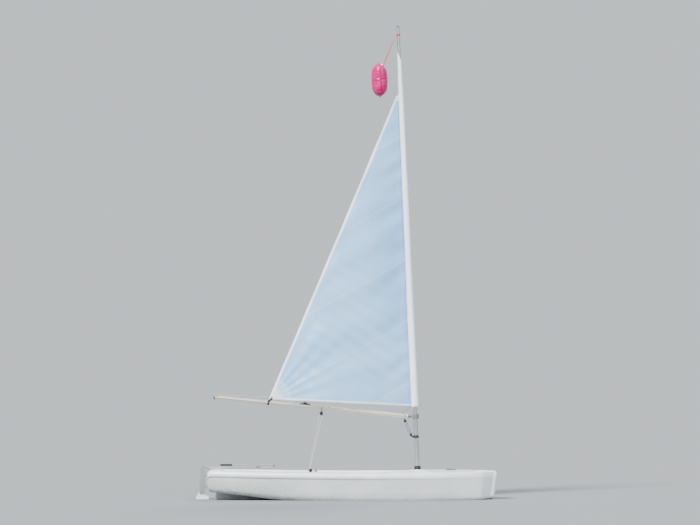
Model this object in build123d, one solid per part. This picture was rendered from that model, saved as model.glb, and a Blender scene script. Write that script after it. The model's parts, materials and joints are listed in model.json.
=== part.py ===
"""Sailing dinghy: a moulded open hull, a lifting centreboard and rudder, and an
unstayed two-piece mast with its sail partly rolled round it.

Millimetres. +X points to the bow, +Y to port, +Z up. The origin lies on the
waterline, on the centreline, at half the hull's length.
"""
from build123d import *
import math
import os

# Hull form
hull_length = 4600.0
hull_half_beam = 900.0
rim_height = 92.0
rim_bulge = 24.0
rim_lip = 8.0
transom_round = 60.0
stem_round = 62.0
end_drop = 0.8
end_steps = 3
transom_x = -hull_length / 2

# Each row is one cross-section between the two rounded ends, and its columns are:
# place along the hull, half beam as a share of the widest, strength of the rolled rim,
# sheer height, crown of the deck, keel height, bilge breadth as a share of the topside's,
# bilge height, bilge radius and rake in degrees. The last two meet at the bow's knuckle.
HULL_SECTIONS = [
    (0.000, 0.785, 1.00, 463.0, 6.0, 106.0, 0.80, 132.0, 105.0, 0.0),
    (0.122, 0.890, 1.00, 452.0, 6.0, 36.0, 0.81, 74.0, 150.0, 0.0),
    (0.244, 0.955, 1.00, 442.0, 8.0, -48.0, 0.80, 10.0, 190.0, 0.0),
    (0.366, 0.990, 0.95, 435.0, 10.0, -112.0, 0.79, -40.0, 225.0, 0.0),
    (0.488, 1.000, 0.85, 431.0, 13.0, -144.0, 0.77, -64.0, 245.0, 0.0),
    (0.610, 0.975, 0.65, 431.0, 18.0, -150.0, 0.75, -68.0, 240.0, 0.0),
    (0.732, 0.890, 0.45, 434.0, 26.0, -140.0, 0.74, -54.0, 205.0, 0.0),
    (0.854, 0.710, 0.30, 439.0, 26.0, -108.0, 0.76, -24.0, 140.0, 1.5),
    (0.960, 0.450, 0.20, 443.0, 18.0, -54.0, 0.78, 12.0, 70.0, 4.0),
    (1.000, 0.275, 0.20, 443.0, 10.0, -16.0, 0.70, 36.0, 48.0, 7.0),
]

# Grip moulded into each side of the bow, along its knuckle
bow_grip_low_z = 215.0
bow_grip_top_z = 400.0
bow_grip_radius = 9.0
bow_grip_depth = 7.0

# Skeg under the run
skeg_front_x = -1000.0
skeg_aft_x = -2190.0
skeg_thick = 34.0
skeg_low_z = -30.0
skeg_lead = 150.0
skeg_fore_below = 12.0
skeg_sunk = 20.0
skeg_slant = 18.0
skeg_round = 35.0

# Cockpit
cockpit_front_x = 740.0
cockpit_aft_x = -2100.0
cockpit_floor_z = 165.0
cockpit_rim_z = 440.0
side_deck = 285.0
wall_lean = 14.0
cockpit_shoulder = 330.0
cockpit_corner = 75.0
floor_fillet = 35.0
deck_edge_round = 22.0
scupper_out = 250.0
scupper_width = 130.0
scupper_height = 46.0
scupper_lift = 12.0

# Centreboard, its case and its pin
slot_width = 40.0
slot_front_x = 420.0
slot_aft_x = -740.0
case_wall = 34.0
case_top_z = 372.0
case_lean = 3.0
case_cap_thick = 12.0
case_cap_inset = 4.0
board_pivot_x = 330.0
board_pivot_z = 10.0
board_thick = 28.0
board_chord = 270.0
board_fore = 60.0
board_below_pivot = 1010.0
board_head_above = 80.0
board_head_depth = 190.0
board_head_slope = 70.0
board_corner = 8.0
board_pin_radius = 10.0
pin_clearance = 0.1
foil_tail = 3.0
foil_overlap = 20.0
foil_nose = 0.3
foil_widest = 0.36

# Mast, raked aft, turning in its pot
mast_x = 1030.0
mast_deck_z = 462.0
mast_rake = 2.5
mast_radius = 35.0
mast_wall = 3.0
mast_heel_thick = 30.0
mast_cap_plug = 30.0
mast_cap_rise = 9.0
mast_cap_lip = 2.0
mast_cap_dome = 4.0
mast_pot_depth = 420.0
mast_boss_radius = 118.0
mast_boss_height = 10.0
mast_boss_sunk = 92.0
mast_boss_flare = 46.0
mast_joint_h = 3500.0
mast_joint_lap = 250.0
mast_top_h = 7110.0
mast_top_radius = 23.0
mast_clearance = 0.5
collar_radius = 52.0
collar_height = 58.0
collar_flange_radius = 76.0
collar_flange_thick = 9.0
rest_swing = 6.0

# Boom, in its own line from the gooseneck
boom_gap = 76.0
boom_h = 858.0
boom_rise = 8.06
boom_length = 3147.0
boom_radius = 31.5
boom_wall = 2.5
boom_start = 40.0
boom_cap_thick = 16.0
boom_plug = 50.0
boom_cap_nose_radius = 23.0
band_thick = 3.0
gooseneck_wall = 12.0
gooseneck_half = 38.0
gooseneck_pin_radius = 6.0
gooseneck_pin_head = 5.0
jaw_gap = 16.0
jaw_thick = 6.0
jaw_half_width = 15.0
tongue_clearance = 2.5
tongue_half_width = 12.0
clamp_lug_length = 12.0
clamp_lug_half_width = 9.0
clamp_slit = 3.0
clamp_bolt_radius = 5.0
clamp_bolt_half = 12.0
clamp_bolt_from_middle = 23.0

# Sheaves and blocks
sheave_radius = 24.0
sheave_thick = 11.0
sheave_groove = 5.0
cheek_gap = 14.0
cheek_wall = 4.0
cheek_radius = 28.0
axle_radius = 5.0
block_neck = 9.0
block_drop = 40.0
hanger_ring_drop = 18.0
hanger_half = 14.0
boom_block_at = 1430.0
kicker_block_scale = 0.8

# Fittings along the boom
cleat_from = 1613.0
cleat_to = 1790.0
cleat_half_width = 12.0
cleat_horn_height = 26.0
cleat_base_thick = 7.0
cleat_waist_half = 24.0
cleat_horn_thick = 5.0
cleat_end_in = 14.0
clew_strap_lead = 6.0
clew_band = 40.0
clew_eye_half = 8.0
clew_eye_rise = 15.0
kicker_at = 95.0
kicker_h = 535.0
kicker_ring_wall = 8.0
kicker_ring_half = 20.0
kicker_lug = 34.0
kicker_lug_half = 12.0
kicker_lug_half_width = 5.0
kicker_band_half = 14.0
kicker_line_radius = 3.0
tack_strap_at = 150.0
tack_strap_width = 26.0
tack_strap_thick = 5.0
tack_strap_in = 6.0
tack_strap_up = 16.0

# Sail
tack_h = 995.0
roll_top_below_mast_top = 190.0
roll_radius_low = 70.0
roll_radius_top = 44.0
clew_aft = 2337.0
clew_above_boom = 52.0
head_below_mast_top = 1112.0
head_aft = 78.0
foot_rise = 20.0
sail_thick = 8.0
sail_camber = 0.075
sail_twist = 7.0
sail_section_count = 6

# Masthead float and its strap
float_below_mast_top = 842.0
float_aft = 336.0
float_long = 258.0
float_wide = 380.0
float_tall = 554.0
float_round = 105.0
strap_below_mast_top = 125.0
strap_band_half = 12.0
strap_width = 24.0
strap_thick = 4.0
strap_spread_low = 60.0
strap_spread_top = 14.0
strap_into_float = 60.0

# Rudder, about an axis behind the transom
rudder_axis_gap = 45.0
pintle_radius = 4.9
gudgeon_heights = (185.0, 365.0)
gudgeon_thick = 8.0
gudgeon_round = 11.0
gudgeon_plate = 4.0
gudgeon_plate_half = 34.0
gudgeon_plate_below = 18.0
gudgeon_plate_above = 26.0
pintle_lug_thick = 9.0
pintle_below = 14.0
pintle_lug_gap = 1.0
cheek_plate = 6.0
blade_thick = 24.0
blade_side_gap = 1.0
stock_gap = 18.0
stock_length = 90.0
stock_bottom_z = 78.0
stock_top_z = 532.0
stock_web = 8.0
stock_chin = 28.0
stock_waist = 150.0
stock_waist_in = 26.0
stock_corner = 10.0
stock_web_from = 42.0
stock_web_below_top = 12.0
spacer_below = 110.0
spacer_above = 6.0
spacer_aft_in = 30.0
blade_pivot_rise = 52.0
blade_pivot_in = 8.0
blade_head_radius = 34.0
blade_reach_fore = 110.0
blade_reach_aft = 95.0
blade_below_pivot = 760.0
blade_neck_depth = 52.0
blade_shoulder_depth = 96.0
blade_head_depth = 150.0
blade_bolt_radius = 6.0
blade_bolt_head = 11.0
blade_bolt_stand = 7.0

# Tiller and its extension
tiller_radius = 15.0
tiller_wall = 2.0
tiller_z = 505.0
tiller_front_x = -1240.0
tiller_aft_in = 6.0
tiller_plug = 74.0
hinge_setback = 22.0
knuckle_half = 14.0
knuckle_half_width = 12.0
knuckle_above = 6.0
knuckle_below = 11.0
extension_radius = 10.0
extension_length = 860.0
extension_gap = 14.0
extension_boss_radius = 14.0
extension_pin_radius = 5.0
extension_boss_stand = 2.0
extension_pin_stand = 7.0
extension_pin_head = 4.0
grip_radius = 15.0
grip_length = 190.0

# Deck fittings
hatch_x = 1560.0
hatch_radius = 82.0
hatch_rise = 14.0
hatch_lid_radius = 66.0
hatch_ring_width = 12.0
hatch_step = 4.0
hatch_rib_count = 12
hatch_rib_width = 5.0
hatch_rib_from = 23.0
eye_x = 2170.0
eye_radius = 8.0
eye_thick = 6.0
eye_lug_radius = 20.0
eye_base_half = 45.0
eye_base_half_width = 16.0
eye_above_deck = 18.0
plug_radius = 19.0
plug_out = 430.0
plug_z = 230.0
plug_thick = 7.0
plug_bar_half = 15.0
plug_bar_thick = 6.0
plug_bar_stand = 7.0
strap_out = 250.0
toe_strap_half = 25.0
toe_strap_thick = 4.0
toe_strap_lift = 95.0
toe_strap_bend_x = -160.0
toe_strap_end_x = 60.0
toe_strap_foot = 60.0
swivel_setback = 60.0
swivel_base_radius = 34.0
swivel_base_thick = 10.0
swivel_post_radius = 11.0
swivel_post_height = 24.0
seat_gap = 0.3
edge_break = 3.0
cut_past = 1.0


def bar_x(radius, x0, x1, y=0.0, z=0.0):
    return Pos((x0 + x1) / 2, y, z) * Rot(0, 90, 0) * Cylinder(radius, x1 - x0)


def bar_y(radius, y0, y1, x=0.0, z=0.0):
    return Pos(x, (y0 + y1) / 2, z) * Rot(90, 0, 0) * Cylinder(radius, y1 - y0)


def bar_z(radius, z0, z1, x=0.0, y=0.0):
    return Pos(x, y, (z0 + z1) / 2) * Cylinder(radius, z1 - z0)


def block(x0, x1, y0, y1, z0, z1):
    return Pos((x0 + x1) / 2, (y0 + y1) / 2, (z0 + z1) / 2) * Box(x1 - x0, y1 - y0, z1 - z0)


def side_plate(points, y0, y1, corner=0.0):
    """A plate whose outline is given by (x, z) points, from y0 to y1, with round corners."""
    face = make_face(Polyline([(x, y0, z) for x, z in points], close=True))
    if corner:
        face = fillet(face.vertices(), corner)
    return extrude(face, amount=y1 - y0, dir=(0, 1, 0))


def turned(points):
    """A solid turned about Z from (radius, height) points."""
    return revolve(make_face(Polyline([(r, 0, h) for r, h in points], close=True)), Axis.Z)


def seated(piece, carrier):
    """The piece with what would lie inside its carrier taken off."""
    return Part((piece - carrier).solids().sort_by(SortBy.VOLUME)[-1:])


def joined(shapes):
    """All the shapes as one part."""
    total = shapes[0]
    for shape in shapes[1:]:
        total += shape
    return total


def rod_between(start, end, profile):
    """A straight rod of the given face from start to end."""
    axis = Plane(start, x_dir=(0, 1, 0), z_dir=end - start)
    return extrude(axis * profile, amount=(end - start).length)


# Hull moulding
def section_x(row):
    return transom_x + transom_round + row[0] * (hull_length - transom_round - stem_round)


def between_sections(x, value):
    """A value of the sections at the place x, taken straight between them."""
    for aft, fore in zip(HULL_SECTIONS, HULL_SECTIONS[1:]):
        if x <= section_x(fore):
            share = (x - section_x(aft)) / (section_x(fore) - section_x(aft))
            return value(aft) + share * (value(fore) - value(aft))
    return value(HULL_SECTIONS[-1])


def half_beam_at(x):
    return hull_half_beam * between_sections(x, lambda row: row[1])


def deck_top_at(x):
    return between_sections(x, lambda row: row[3] + row[4])


def keel_at(x):
    return between_sections(x, lambda row: row[5])


def bilge_arc(keel, corner, top, radius):
    """Start, middle and end of the arc that rounds the bilge corner."""
    to_keel = Vector(keel[0] - corner[0], keel[1] - corner[1]).normalized()
    to_top = Vector(top[0] - corner[0], top[1] - corner[1]).normalized()
    half_angle = math.radians(to_keel.get_angle(to_top) / 2)
    tangent = radius / math.tan(half_angle)
    reach = radius / math.sin(half_angle) - radius
    inward = (to_keel + to_top).normalized()
    corner = Vector(*corner)
    return [corner + to_keel * tangent, corner + inward * reach, corner + to_top * tangent]


def hull_section(row, shift=0.0, inset=0.0):
    """One cross-section: bottom, round bilge, topside, rolled rim and crowned deck."""
    place, beam_share, rim, sheer, crown, keel_z, bilge_share, bilge_z, bilge_radius, rake = row
    lean = math.tan(math.radians(rake))

    def at(y, z):
        return (section_x(row) + shift + (z - sheer) * lean, y, z)

    beam = hull_half_beam * beam_share - inset
    top_z = sheer - inset * end_drop
    low_z = top_z - rim_height
    rim_inner = beam - rim_bulge * rim
    topside = (rim_inner - rim_lip * rim, low_z)
    corner = (topside[0] * bilge_share, bilge_z + inset)
    start, middle, end = bilge_arc((0.0, keel_z + inset), corner, topside, bilge_radius)
    halves = []
    for side in (1, -1):
        halves.append([
            Line(at(0, keel_z + inset), at(side * start.X, start.Y)),
            ThreePointArc(at(side * start.X, start.Y), at(side * middle.X, middle.Y),
                          at(side * end.X, end.Y)),
            Line(at(side * end.X, end.Y), at(side * topside[0], low_z)),
            Line(at(side * topside[0], low_z), at(side * rim_inner, low_z)),
            ThreePointArc(at(side * rim_inner, low_z), at(side * beam, top_z - rim_height / 2),
                          at(side * rim_inner, top_z)),
        ])
    deck = ThreePointArc(at(rim_inner, top_z), at(0, top_z + crown), at(-rim_inner, top_z))
    loop = halves[0] + [deck] + list(reversed(halves[1]))
    return make_face(Wire([edge.edge() for edge in loop]))


def topside_point(row, z, side):
    """The point of a section's topside at height z, between its bilge and its rim."""
    beam_share, rim, sheer = row[1:4]
    bilge_share, bilge_z = row[6:8]
    top_y = hull_half_beam * beam_share - (rim_bulge + rim_lip) * rim
    share = (z - bilge_z) / (sheer - rim_height - bilge_z)
    lean = math.tan(math.radians(row[9]))
    y = top_y * (bilge_share + (1 - bilge_share) * share)
    return Vector(section_x(row) + (z - sheer) * lean, side * y, z)


def bow_grip(side):
    """What is cut for a grip: a rod with round ends along the knuckle."""
    out = Vector(0, side * (bow_grip_radius - bow_grip_depth), 0)
    low = topside_point(HULL_SECTIONS[-2], bow_grip_low_z, side) + out
    top = topside_point(HULL_SECTIONS[-2], bow_grip_top_z, side) + out
    rod = rod_between(low, top, Circle(bow_grip_radius))
    return rod + Pos(low) * Sphere(bow_grip_radius) + Pos(top) * Sphere(bow_grip_radius)


def rounded_end(row, direction, radius):
    """The end of the hull, drawn in along a quarter circle from its last section."""
    faces = []
    for step in range(end_steps + 1):
        turn = math.radians(90 * step / end_steps)
        faces.append(hull_section(row, direction * radius * math.sin(turn),
                                  radius * (1 - math.cos(turn))))
    return loft(faces)


def cockpit_outline(z):
    """The cockpit's plan at height z, wider towards the deck by the lean of its walls."""
    inset = (cockpit_rim_z - z) * math.tan(math.radians(wall_lean))
    aft = cockpit_aft_x + inset
    front = cockpit_front_x - inset
    shoulder = front - cockpit_shoulder
    side = []
    for x in (aft, (aft + shoulder) / 2, shoulder):
        side.append((x, half_beam_at(x) - side_deck - inset, z))
    port = ThreePointArc(*side)
    starboard = ThreePointArc(*[(x, -y, height) for x, y, height in side])
    front_round = ThreePointArc(port @ 1, (front, 0, z), starboard @ 1)
    loop = [port, front_round, starboard, Line(starboard @ 0, port @ 0)]
    face = make_face(Wire([edge.edge() for edge in loop]))
    return fillet(face.vertices(), cockpit_corner)


def round_cockpit_edge(hull):
    """Rolls the edge where the side decks and ends turn down into the cockpit."""
    low = cockpit_rim_z - deck_edge_round
    edges = []
    for edge in hull.edges():
        box = edge.bounding_box()
        aft_of_front = box.max.X < cockpit_front_x + deck_edge_round
        fore_of_aft = box.min.X > cockpit_aft_x - deck_edge_round
        inside_y = max(box.max.Y, -box.min.Y) < hull_half_beam - side_deck / 2
        if aft_of_front and fore_of_aft and inside_y and box.min.Z > low:
            edges.append(edge)
    return fillet(edges, deck_edge_round)


def board_case():
    """The moulded case for the centreboard, with round ends and leaning walls."""
    half = slot_width / 2 + case_wall
    base_z = cockpit_floor_z - floor_fillet
    lean = (case_top_z - base_z) * math.tan(math.radians(case_lean))
    faces = []
    for z, grow in ((base_z, lean), (case_top_z, 0.0)):
        width = 2 * (half + grow)
        length = slot_front_x - slot_aft_x + width
        middle = (slot_front_x + slot_aft_x) / 2
        faces.append(Pos(middle, 0, z) * SlotOverall(length, width).face())
    return loft(faces, ruled=True)


def skeg():
    """The moulded fin under the run, with its top inside the bottom of the hull."""
    low_x = skeg_front_x - skeg_lead
    points = [(skeg_front_x, keel_at(skeg_front_x) + skeg_sunk),
              (skeg_aft_x, keel_at(skeg_aft_x) + skeg_sunk),
              (skeg_aft_x - skeg_slant, skeg_low_z),
              (low_x, keel_at(low_x) - skeg_fore_below)]
    fin = side_plate(points, -skeg_thick / 2, skeg_thick / 2)
    return fillet(fin.edges().filter_by(Axis.Y).sort_by(Axis.Z)[0:1], skeg_round)


def make_hull():
    knuckle_row, stem_row = HULL_SECTIONS[-2:]
    hull = loft([hull_section(row) for row in HULL_SECTIONS[:-1]])
    hull += loft([hull_section(knuckle_row), hull_section(stem_row)], ruled=True)
    hull += rounded_end(HULL_SECTIONS[0], -1, transom_round)
    hull += rounded_end(stem_row, 1, stem_round)
    cut_top = cockpit_rim_z + 2 * rim_height
    well = loft([cockpit_outline(cockpit_floor_z), cockpit_outline(cut_top)], ruled=True)
    hull -= fillet(well.edges().group_by(Axis.Z)[0], floor_fillet)
    hull = round_cockpit_edge(hull)
    for side in (1, -1):
        hull -= bow_grip(side)
    hull += skeg()
    hull += board_case()
    keel_low_z = min(row[5] for row in HULL_SECTIONS)
    hull -= block(slot_aft_x, slot_front_x, -slot_width / 2, slot_width / 2,
                  keel_low_z - floor_fillet, case_top_z + cut_past)
    scupper_z = cockpit_floor_z + scupper_lift + scupper_height / 2
    for side in (1, -1):
        mouth = Plane((transom_x - cut_past, side * scupper_out, scupper_z),
                      x_dir=(0, 1, 0), z_dir=(1, 0, 0))
        drain = mouth * SlotOverall(scupper_width, scupper_height)
        hull -= extrude(drain, amount=cockpit_aft_x - transom_x + 2 * cockpit_corner)
    boss = turned([(0, -mast_boss_sunk), (mast_boss_radius + mast_boss_flare, -mast_boss_sunk),
                   (mast_boss_radius, mast_boss_height), (0, mast_boss_height)])
    pot = bar_z(mast_radius + mast_clearance, -mast_pot_depth, mast_boss_height + cut_past)
    return hull + mast_line * boss - mast_line * pot


# The mast's own frame: z up the mast, x forward, before the rig is swung
rake_sin = math.sin(math.radians(mast_rake))
rake_cos = math.cos(math.radians(mast_rake))
mast_line = Plane((mast_x, 0, mast_deck_z), x_dir=(rake_cos, 0, rake_sin),
                  z_dir=(-rake_sin, 0, rake_cos)).location
rig = mast_line * Rot(0, 0, rest_swing)

# The boom's frame in the rig: x aft along the boom, z up from it
boom_sin = math.sin(math.radians(boom_rise))
boom_cos = math.cos(math.radians(boom_rise))
boom_line = Plane((-boom_gap, 0, boom_h), x_dir=(-boom_cos, 0, boom_sin),
                  z_dir=(boom_sin, 0, boom_cos)).location
clew_along = (clew_aft - boom_gap) / boom_cos
clew_at = clew_along + clew_strap_lead
clew_h = boom_h + clew_along * boom_sin + clew_above_boom
head_h = mast_top_h - head_below_mast_top
roll_top_h = mast_top_h - roll_top_below_mast_top
float_h = mast_top_h - float_below_mast_top
strap_h = mast_top_h - strap_below_mast_top


def on_boom(along, up):
    """The rig's point that lies along the boom from the gooseneck and up from its middle."""
    aft = boom_gap + along * boom_cos - up * boom_sin
    return Vector(-aft, 0, boom_h + along * boom_sin + up * boom_cos)


def mast_radius_at(h):
    """Outer radius of the tube that stands at height h."""
    if h <= mast_joint_h:
        return mast_radius
    share = (h - mast_joint_h) / (mast_top_h - mast_joint_h)
    upper = mast_radius - mast_wall - seat_gap
    return upper + share * (mast_top_radius - upper)


def mast_bore(h):
    """What is cut from a fitting round the mast at height h."""
    reach = 3 * gooseneck_half
    return bar_z(mast_radius_at(h) + seat_gap, h - reach, h + reach)


def boom_band(x0, x1, thick):
    """A band round the boom."""
    outside = bar_x(boom_radius + seat_gap + thick, x0, x1)
    return outside - bar_x(boom_radius + seat_gap, x0 - cut_past, x1 + cut_past)


def pulley_block(scale=1.0):
    """A block that hangs down from the origin: two cheeks, a grooved sheave and its axle."""
    gap = cheek_gap * scale
    wall = cheek_wall * scale
    centre = -block_drop * scale
    rim = sheave_radius * scale
    groove = rim - sheave_groove * scale
    neck = block_neck * scale
    half = sheave_thick * scale / 2
    outline = [(-neck, 0.0), (neck, 0.0), (cheek_radius * scale, centre), (-cheek_radius * scale, centre)]
    pieces_of_block = []
    for y0 in (-gap / 2 - wall, gap / 2):
        pieces_of_block.append(side_plate(outline, y0, y0 + wall))
        pieces_of_block.append(bar_y(cheek_radius * scale, y0, y0 + wall, 0, centre))
    pieces_of_block.append(block(-neck, neck, -gap / 2 - wall, gap / 2 + wall, -neck, 0))
    pieces_of_block.append(bar_y(axle_radius * scale, -gap / 2 - 2 * wall, gap / 2 + 2 * wall, 0, centre))
    sheave = turned([(0, -half), (rim, -half), (groove, -half / 3),
                     (groove, half / 3), (rim, half), (0, half)])
    pieces_of_block.append(Pos(0, 0, centre) * Rot(90, 0, 0) * sheave)
    return joined(pieces_of_block)


def foil_face(fore, aft, z, thick):
    """A foil section at height z: round nose, widest a third of the way back, thin tail."""
    nose = foil_nose * thick
    wide_x = fore - foil_widest * (fore - aft)
    tail = foil_tail / 2
    loop = [
        ThreePointArc((fore - nose, nose, z), (fore, 0, z), (fore - nose, -nose, z)),
        ThreePointArc((fore - nose, -nose, z), (wide_x, -thick / 2, z), (aft, -tail, z)),
        Line((aft, -tail, z), (aft, tail, z)),
        ThreePointArc((aft, tail, z), (wide_x, thick / 2, z), (fore - nose, nose, z)),
    ]
    return make_face(Wire([edge.edge() for edge in loop]))


# Fixed to the hull
def make_mast_collar(hull):
    bore = mast_radius + mast_clearance
    flange_top = mast_boss_height + collar_flange_thick
    top = mast_boss_height + collar_height
    outline = [(bore, mast_boss_height - collar_flange_thick),
               (collar_flange_radius, mast_boss_height - collar_flange_thick),
               (collar_flange_radius, flange_top - edge_break),
               (collar_flange_radius - edge_break, flange_top),
               (collar_radius + edge_break, flange_top), (collar_radius, flange_top + edge_break),
               (collar_radius, top - edge_break), (collar_radius - edge_break, top), (bore, top)]
    return seated(mast_line * turned(outline), hull)


def make_case_cap():
    half = slot_width / 2 + case_wall - case_cap_inset
    length = slot_front_x - slot_aft_x + 2 * half
    cap = extrude(SlotOverall(length, 2 * half), amount=case_cap_thick)
    cap = chamfer(cap.edges().group_by(Axis.Z)[-1], edge_break)
    return Pos((slot_front_x + slot_aft_x) / 2, 0, case_top_z) * cap


def make_hatch(hull):
    """A screwed deck hatch: its ring, the groove round its lid and the ribs to grip it by."""
    top = deck_top_at(hatch_x) + hatch_rise
    below = top - 3 * hatch_rise
    sunk = top - hatch_step
    lid_edge = hatch_lid_radius - hatch_ring_width / 2
    cover = turned([(0, below), (hatch_radius, below), (hatch_radius, sunk),
                    (hatch_radius - hatch_step, top), (hatch_radius - hatch_ring_width, top),
                    (hatch_lid_radius, sunk), (lid_edge, sunk),
                    (lid_edge - hatch_step, top - edge_break / 2), (0, top - edge_break / 2)])
    rib = block(hatch_rib_from, lid_edge - hatch_step, -hatch_rib_width / 2, hatch_rib_width / 2,
                sunk, top + edge_break / 2)
    for turn in range(hatch_rib_count):
        cover += Rot(0, 0, turn * 360 / hatch_rib_count) * rib
    return seated(Pos(hatch_x, 0, 0) * cover, hull)


def make_toe_strap(side, hull):
    """Webbing from the cockpit's aft wall, over the floor, to an anchor near the front."""
    lift = cockpit_floor_z + toe_strap_lift
    start = cockpit_aft_x - 2 * deck_edge_round
    low = cockpit_floor_z
    thick = toe_strap_thick
    foot = toe_strap_end_x + toe_strap_foot
    points = [(start, lift), (toe_strap_bend_x, lift), (toe_strap_end_x, low - thick), (foot, low - thick),
              (foot, low + thick), (toe_strap_end_x + thick, low + thick),
              (toe_strap_bend_x + thick / 2, lift + thick), (start, lift + thick)]
    y = side * strap_out
    return seated(side_plate(points, y - toe_strap_half, y + toe_strap_half), hull)


def make_sheet_swivel():
    base = swivel_base_thick
    top = swivel_base_thick + swivel_post_height
    outline = [(0, 0), (swivel_base_radius, 0), (swivel_base_radius, base - edge_break),
               (swivel_base_radius - edge_break, base), (swivel_post_radius + edge_break, base),
               (swivel_post_radius, base + edge_break), (swivel_post_radius, top), (0, top)]
    return Pos(slot_aft_x + swivel_setback, 0, case_top_z + case_cap_thick) * turned(outline)


def make_swivel_block():
    z = case_top_z + case_cap_thick + swivel_base_thick + swivel_post_height
    return Pos(slot_aft_x + swivel_setback, 0, z) * Rot(180, 0, 0) * pulley_block()


def make_bow_eye(hull):
    """A plate with a hole, on a base that follows the deck."""
    deck_z = deck_top_at(eye_x)
    hole_z = deck_z + eye_above_deck
    half = eye_thick / 2
    eye = block(eye_x - eye_base_half, eye_x + eye_base_half, -eye_base_half_width, eye_base_half_width,
                deck_z - 3 * eye_thick, deck_z + eye_thick)
    eye = fillet(eye.edges().filter_by(Axis.Z), eye_base_half_width / 2)
    eye += bar_y(eye_lug_radius, -half, half, eye_x, hole_z)
    eye += block(eye_x - eye_lug_radius, eye_x + eye_lug_radius, -half, half, deck_z, hole_z)
    eye -= bar_y(eye_radius, -eye_base_half_width, eye_base_half_width, eye_x, hole_z)
    return seated(eye, hull)


def make_drain_plugs():
    """Two threaded bungs on the transom's flat face, each with a bar to turn it by."""
    plugs = []
    for side in (1, -1):
        disc = Rot(0, -90, 0) * turned([(0, 0), (plug_radius, 0), (plug_radius, plug_thick - edge_break),
                                        (plug_radius - edge_break, plug_thick), (0, plug_thick)])
        disc += block(-plug_thick - plug_bar_stand, -plug_thick / 2, -plug_bar_half, plug_bar_half,
                      -plug_bar_thick / 2, plug_bar_thick / 2)
        plugs.append(Pos(transom_x, side * plug_out, plug_z) * disc)
    return joined(plugs)


def make_gudgeons():
    lugs = []
    for height in gudgeon_heights:
        plate = block(transom_x - gudgeon_plate, transom_x, -gudgeon_plate_half, gudgeon_plate_half,
                      height - gudgeon_plate_below, height + gudgeon_plate_above)
        lug = fillet(plate.edges().filter_by(Axis.X), gudgeon_round / 2)
        lug += block(axis_x, transom_x, -gudgeon_round, gudgeon_round, height, height + gudgeon_thick)
        lug += bar_z(gudgeon_round, height, height + gudgeon_thick, axis_x)
        lug -= bar_z(pintle_radius + pin_clearance, height - cut_past,
                     height + gudgeon_thick + cut_past, axis_x)
        lugs.append(lug)
    return joined(lugs)


# Rudder
axis_x = transom_x - rudder_axis_gap
stock_front = axis_x - stock_gap
stock_aft = stock_front - stock_length
blade_pivot_x = stock_aft + blade_head_radius + blade_pivot_in
blade_pivot_z = stock_bottom_z + blade_pivot_rise
cheek_in = blade_thick / 2 + blade_side_gap
cheek_out = cheek_in + cheek_plate
tiller_top_z = tiller_z + tiller_radius
hinge_x = tiller_front_x - hinge_setback


def make_rudder_stock():
    """Two cheeks, the web that joins them in front and the spacer that holds the tiller."""
    outline = [(stock_front, stock_bottom_z + stock_chin), (stock_front - stock_chin, stock_bottom_z),
               (stock_aft, stock_bottom_z), (stock_aft, stock_bottom_z + stock_waist),
               (stock_aft + stock_waist_in, stock_top_z), (stock_front, stock_top_z)]
    parts = [
        side_plate(outline, -cheek_out, -cheek_in, stock_corner),
        side_plate(outline, cheek_in, cheek_out, stock_corner),
        block(stock_front - stock_web, stock_front, -cheek_out, cheek_out,
              stock_bottom_z + stock_web_from, stock_top_z - stock_web_below_top),
        block(stock_aft + spacer_aft_in, stock_front, -cheek_in, cheek_in,
              tiller_z - tiller_radius - spacer_below, tiller_z + tiller_radius + spacer_above),
    ]
    stock = joined(parts)
    stock -= bar_y(blade_bolt_radius + seat_gap, -2 * cheek_out, 2 * cheek_out, blade_pivot_x, blade_pivot_z)
    stock -= bar_x(tiller_radius + seat_gap, stock_aft - cut_past, stock_front + cut_past, 0, tiller_z)
    return stock


def make_pintles():
    pins = []
    for height in gudgeon_heights:
        low = height + gudgeon_thick + pintle_lug_gap
        top = low + pintle_lug_thick
        pin = bar_z(pintle_radius, height - pintle_below, top, axis_x)
        pin += bar_z(gudgeon_round, low, top, axis_x)
        pin += block(stock_front, axis_x, -gudgeon_round, gudgeon_round, low, top)
        pins.append(pin)
    return joined(pins)


def make_tiller():
    """A tube, solid at its front end where the hinge's plug fills it."""
    tube = bar_x(tiller_radius, stock_aft + tiller_aft_in, tiller_front_x, 0, tiller_z)
    return tube - bar_x(tiller_radius - tiller_wall, stock_aft, tiller_front_x - tiller_plug, 0, tiller_z)


def make_blade_bolt():
    end = cheek_out + blade_bolt_stand
    bolt = bar_y(blade_bolt_radius, -end, end, blade_pivot_x, blade_pivot_z)
    bolt += bar_y(blade_bolt_head, -end, -cheek_out, blade_pivot_x, blade_pivot_z)
    return bolt + bar_y(blade_bolt_head, cheek_out, end, blade_pivot_x, blade_pivot_z)


# Each row is one foil section of the rudder blade, evenly spaced from its head to its tip,
# and its columns are shares of the blade's reach forward, its reach aft and its thickness.
BLADE_SECTIONS = [
    (1.00, 1.00, 0.96),
    (1.00, 1.01, 0.96),
    (0.99, 1.02, 0.94),
    (0.95, 1.02, 0.90),
    (0.83, 0.96, 0.78),
    (0.34, 0.62, 0.40),
]


def foil(sections, fore, aft, top_z, tip_z, thick):
    """A foil lofted through evenly spaced sections; fore and aft are distances from the pivot."""
    faces = []
    for index, (fore_share, aft_share, thick_share) in enumerate(sections):
        z = top_z + index * (tip_z - top_z) / (len(sections) - 1)
        faces.append(foil_face(fore * fore_share, -aft * aft_share, z, thick * thick_share))
    return loft(faces)


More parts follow.
